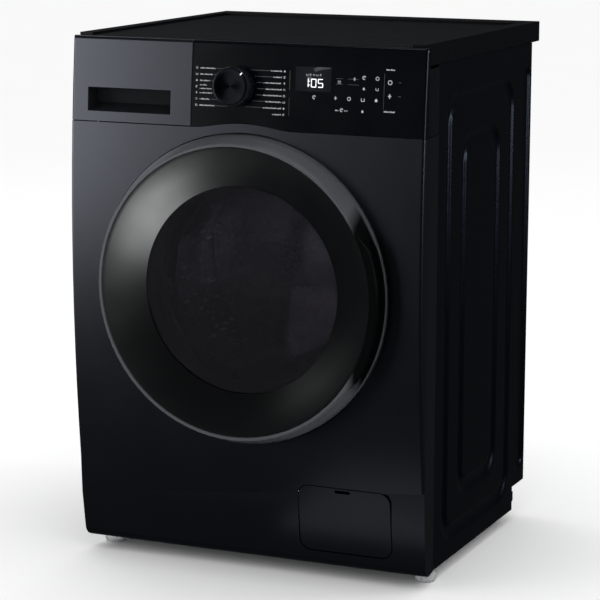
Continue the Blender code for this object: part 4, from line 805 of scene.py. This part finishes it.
def softbox(name, azimuth, elevation, distance, size, power, colour=(1.0, 1.0, 1.0), aim=(0.0, 0.0, 0.45),
            only=(), skip=()):
    """Area light at an azimuth (0 in front, 90 to the machine's right) and elevation, aimed at a point.

    A light with a list of pieces lights only those, and only they shade it; skipped pieces get none of it.
    """
    light = bpy.data.lights.new(name, "AREA")
    light.shape = "RECTANGLE"
    light.size, light.size_y = size
    light.energy = power
    light.color = colour
    obj = bpy.data.objects.new(name, light)
    scene.collection.objects.link(obj)
    a, e = math.radians(azimuth), math.radians(elevation)
    away = Vector((math.sin(a) * math.cos(e), -math.cos(a) * math.cos(e), math.sin(e)))
    obj.location = Vector(aim) + away * distance
    obj.rotation_euler = (-away).to_track_quat("-Z", "Y").to_euler()
    obj.visible_camera = False
    if only:
        targets = bpy.data.collections.new(name + " targets")
        for target in only:
            targets.objects.link(target)
        obj.light_linking.receiver_collection = targets
        obj.light_linking.blocker_collection = targets
    if skip:
        missed = bpy.data.collections.new(name + " skips")
        for target in skip:
            missed.objects.link(target)
        for entry in missed.collection_objects:
            entry.light_linking.link_state = "EXCLUDE"
        obj.light_linking.receiver_collection = missed
    return obj


ring, band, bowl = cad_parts["door_ring"], bpy.data.objects["door_band"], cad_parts["door_bowl"]
softbox("key left", -43, 5, 3.6, (1.5, 1.7), 20, (0.98, 0.98, 1.0), (0.0, 0.0, 0.55), skip=(band,))
softbox("top", 30, 76, 2.6, (2.2, 0.8), 8)
softbox("right strip", 110, 22, 2.5, (0.30, 2.2), 6, (0.95, 0.98, 1.0))
softbox("rear", 171, 50, 3.6, (5.2, 1.0), 6)
softbox("left rear", -122, 40, 3.6, (1.2, 1.6), 8)
softbox("bowl strip", 72, 8, 3.0, (0.22, 1.8), 9, only=(bowl,))
softbox("ring rear", 186, 46, 2.6, (4.6, 2.0), 10, only=(ring,))
softbox("ring side", 118, 38, 2.6, (1.2, 1.6), 8, only=(ring,))
softbox("ring low", 40, -38, 3.0, (2.0, 1.2), 5, only=(ring,))
softbox("band card", 14, -40, 2.4, (1.3, 1.3), 52, (0.98, 1.0, 1.0), (-0.10, -0.28, 0.55), (band,))
softbox("band side", -60, 14, 2.4, (0.7, 0.9), 1.6, (0.98, 1.0, 1.0), (0.10, -0.28, 0.40), (band,))
softbox("floor card", 0, -90, 0.0, (0.30, 0.26), 0.03, (0.98, 1.0, 1.0), (0.16, -0.46, 0.02))

camera_data = bpy.data.cameras.new("camera")
camera_data.sensor_width = 36.0
camera_data.lens = 144.74
camera_data.clip_end = 200.0
camera = bpy.data.objects.new("camera", camera_data)
scene.collection.objects.link(camera)
forward = Vector((-0.3918, 0.90099, -0.18629)).normalized()
right_hand = Vector((0.9168, 0.39933, 0.00321)).normalized()
up = right_hand.cross(forward).normalized()
right_hand = forward.cross(up)
camera.matrix_world = Matrix.Translation((1.5540, -3.6111, 1.1450)) @ Matrix((right_hand, up,
                                                                              -forward)).transposed().to_4x4()
scene.camera = camera
scene.view_settings.view_transform = "Standard"

bpy.context.view_layer.update()
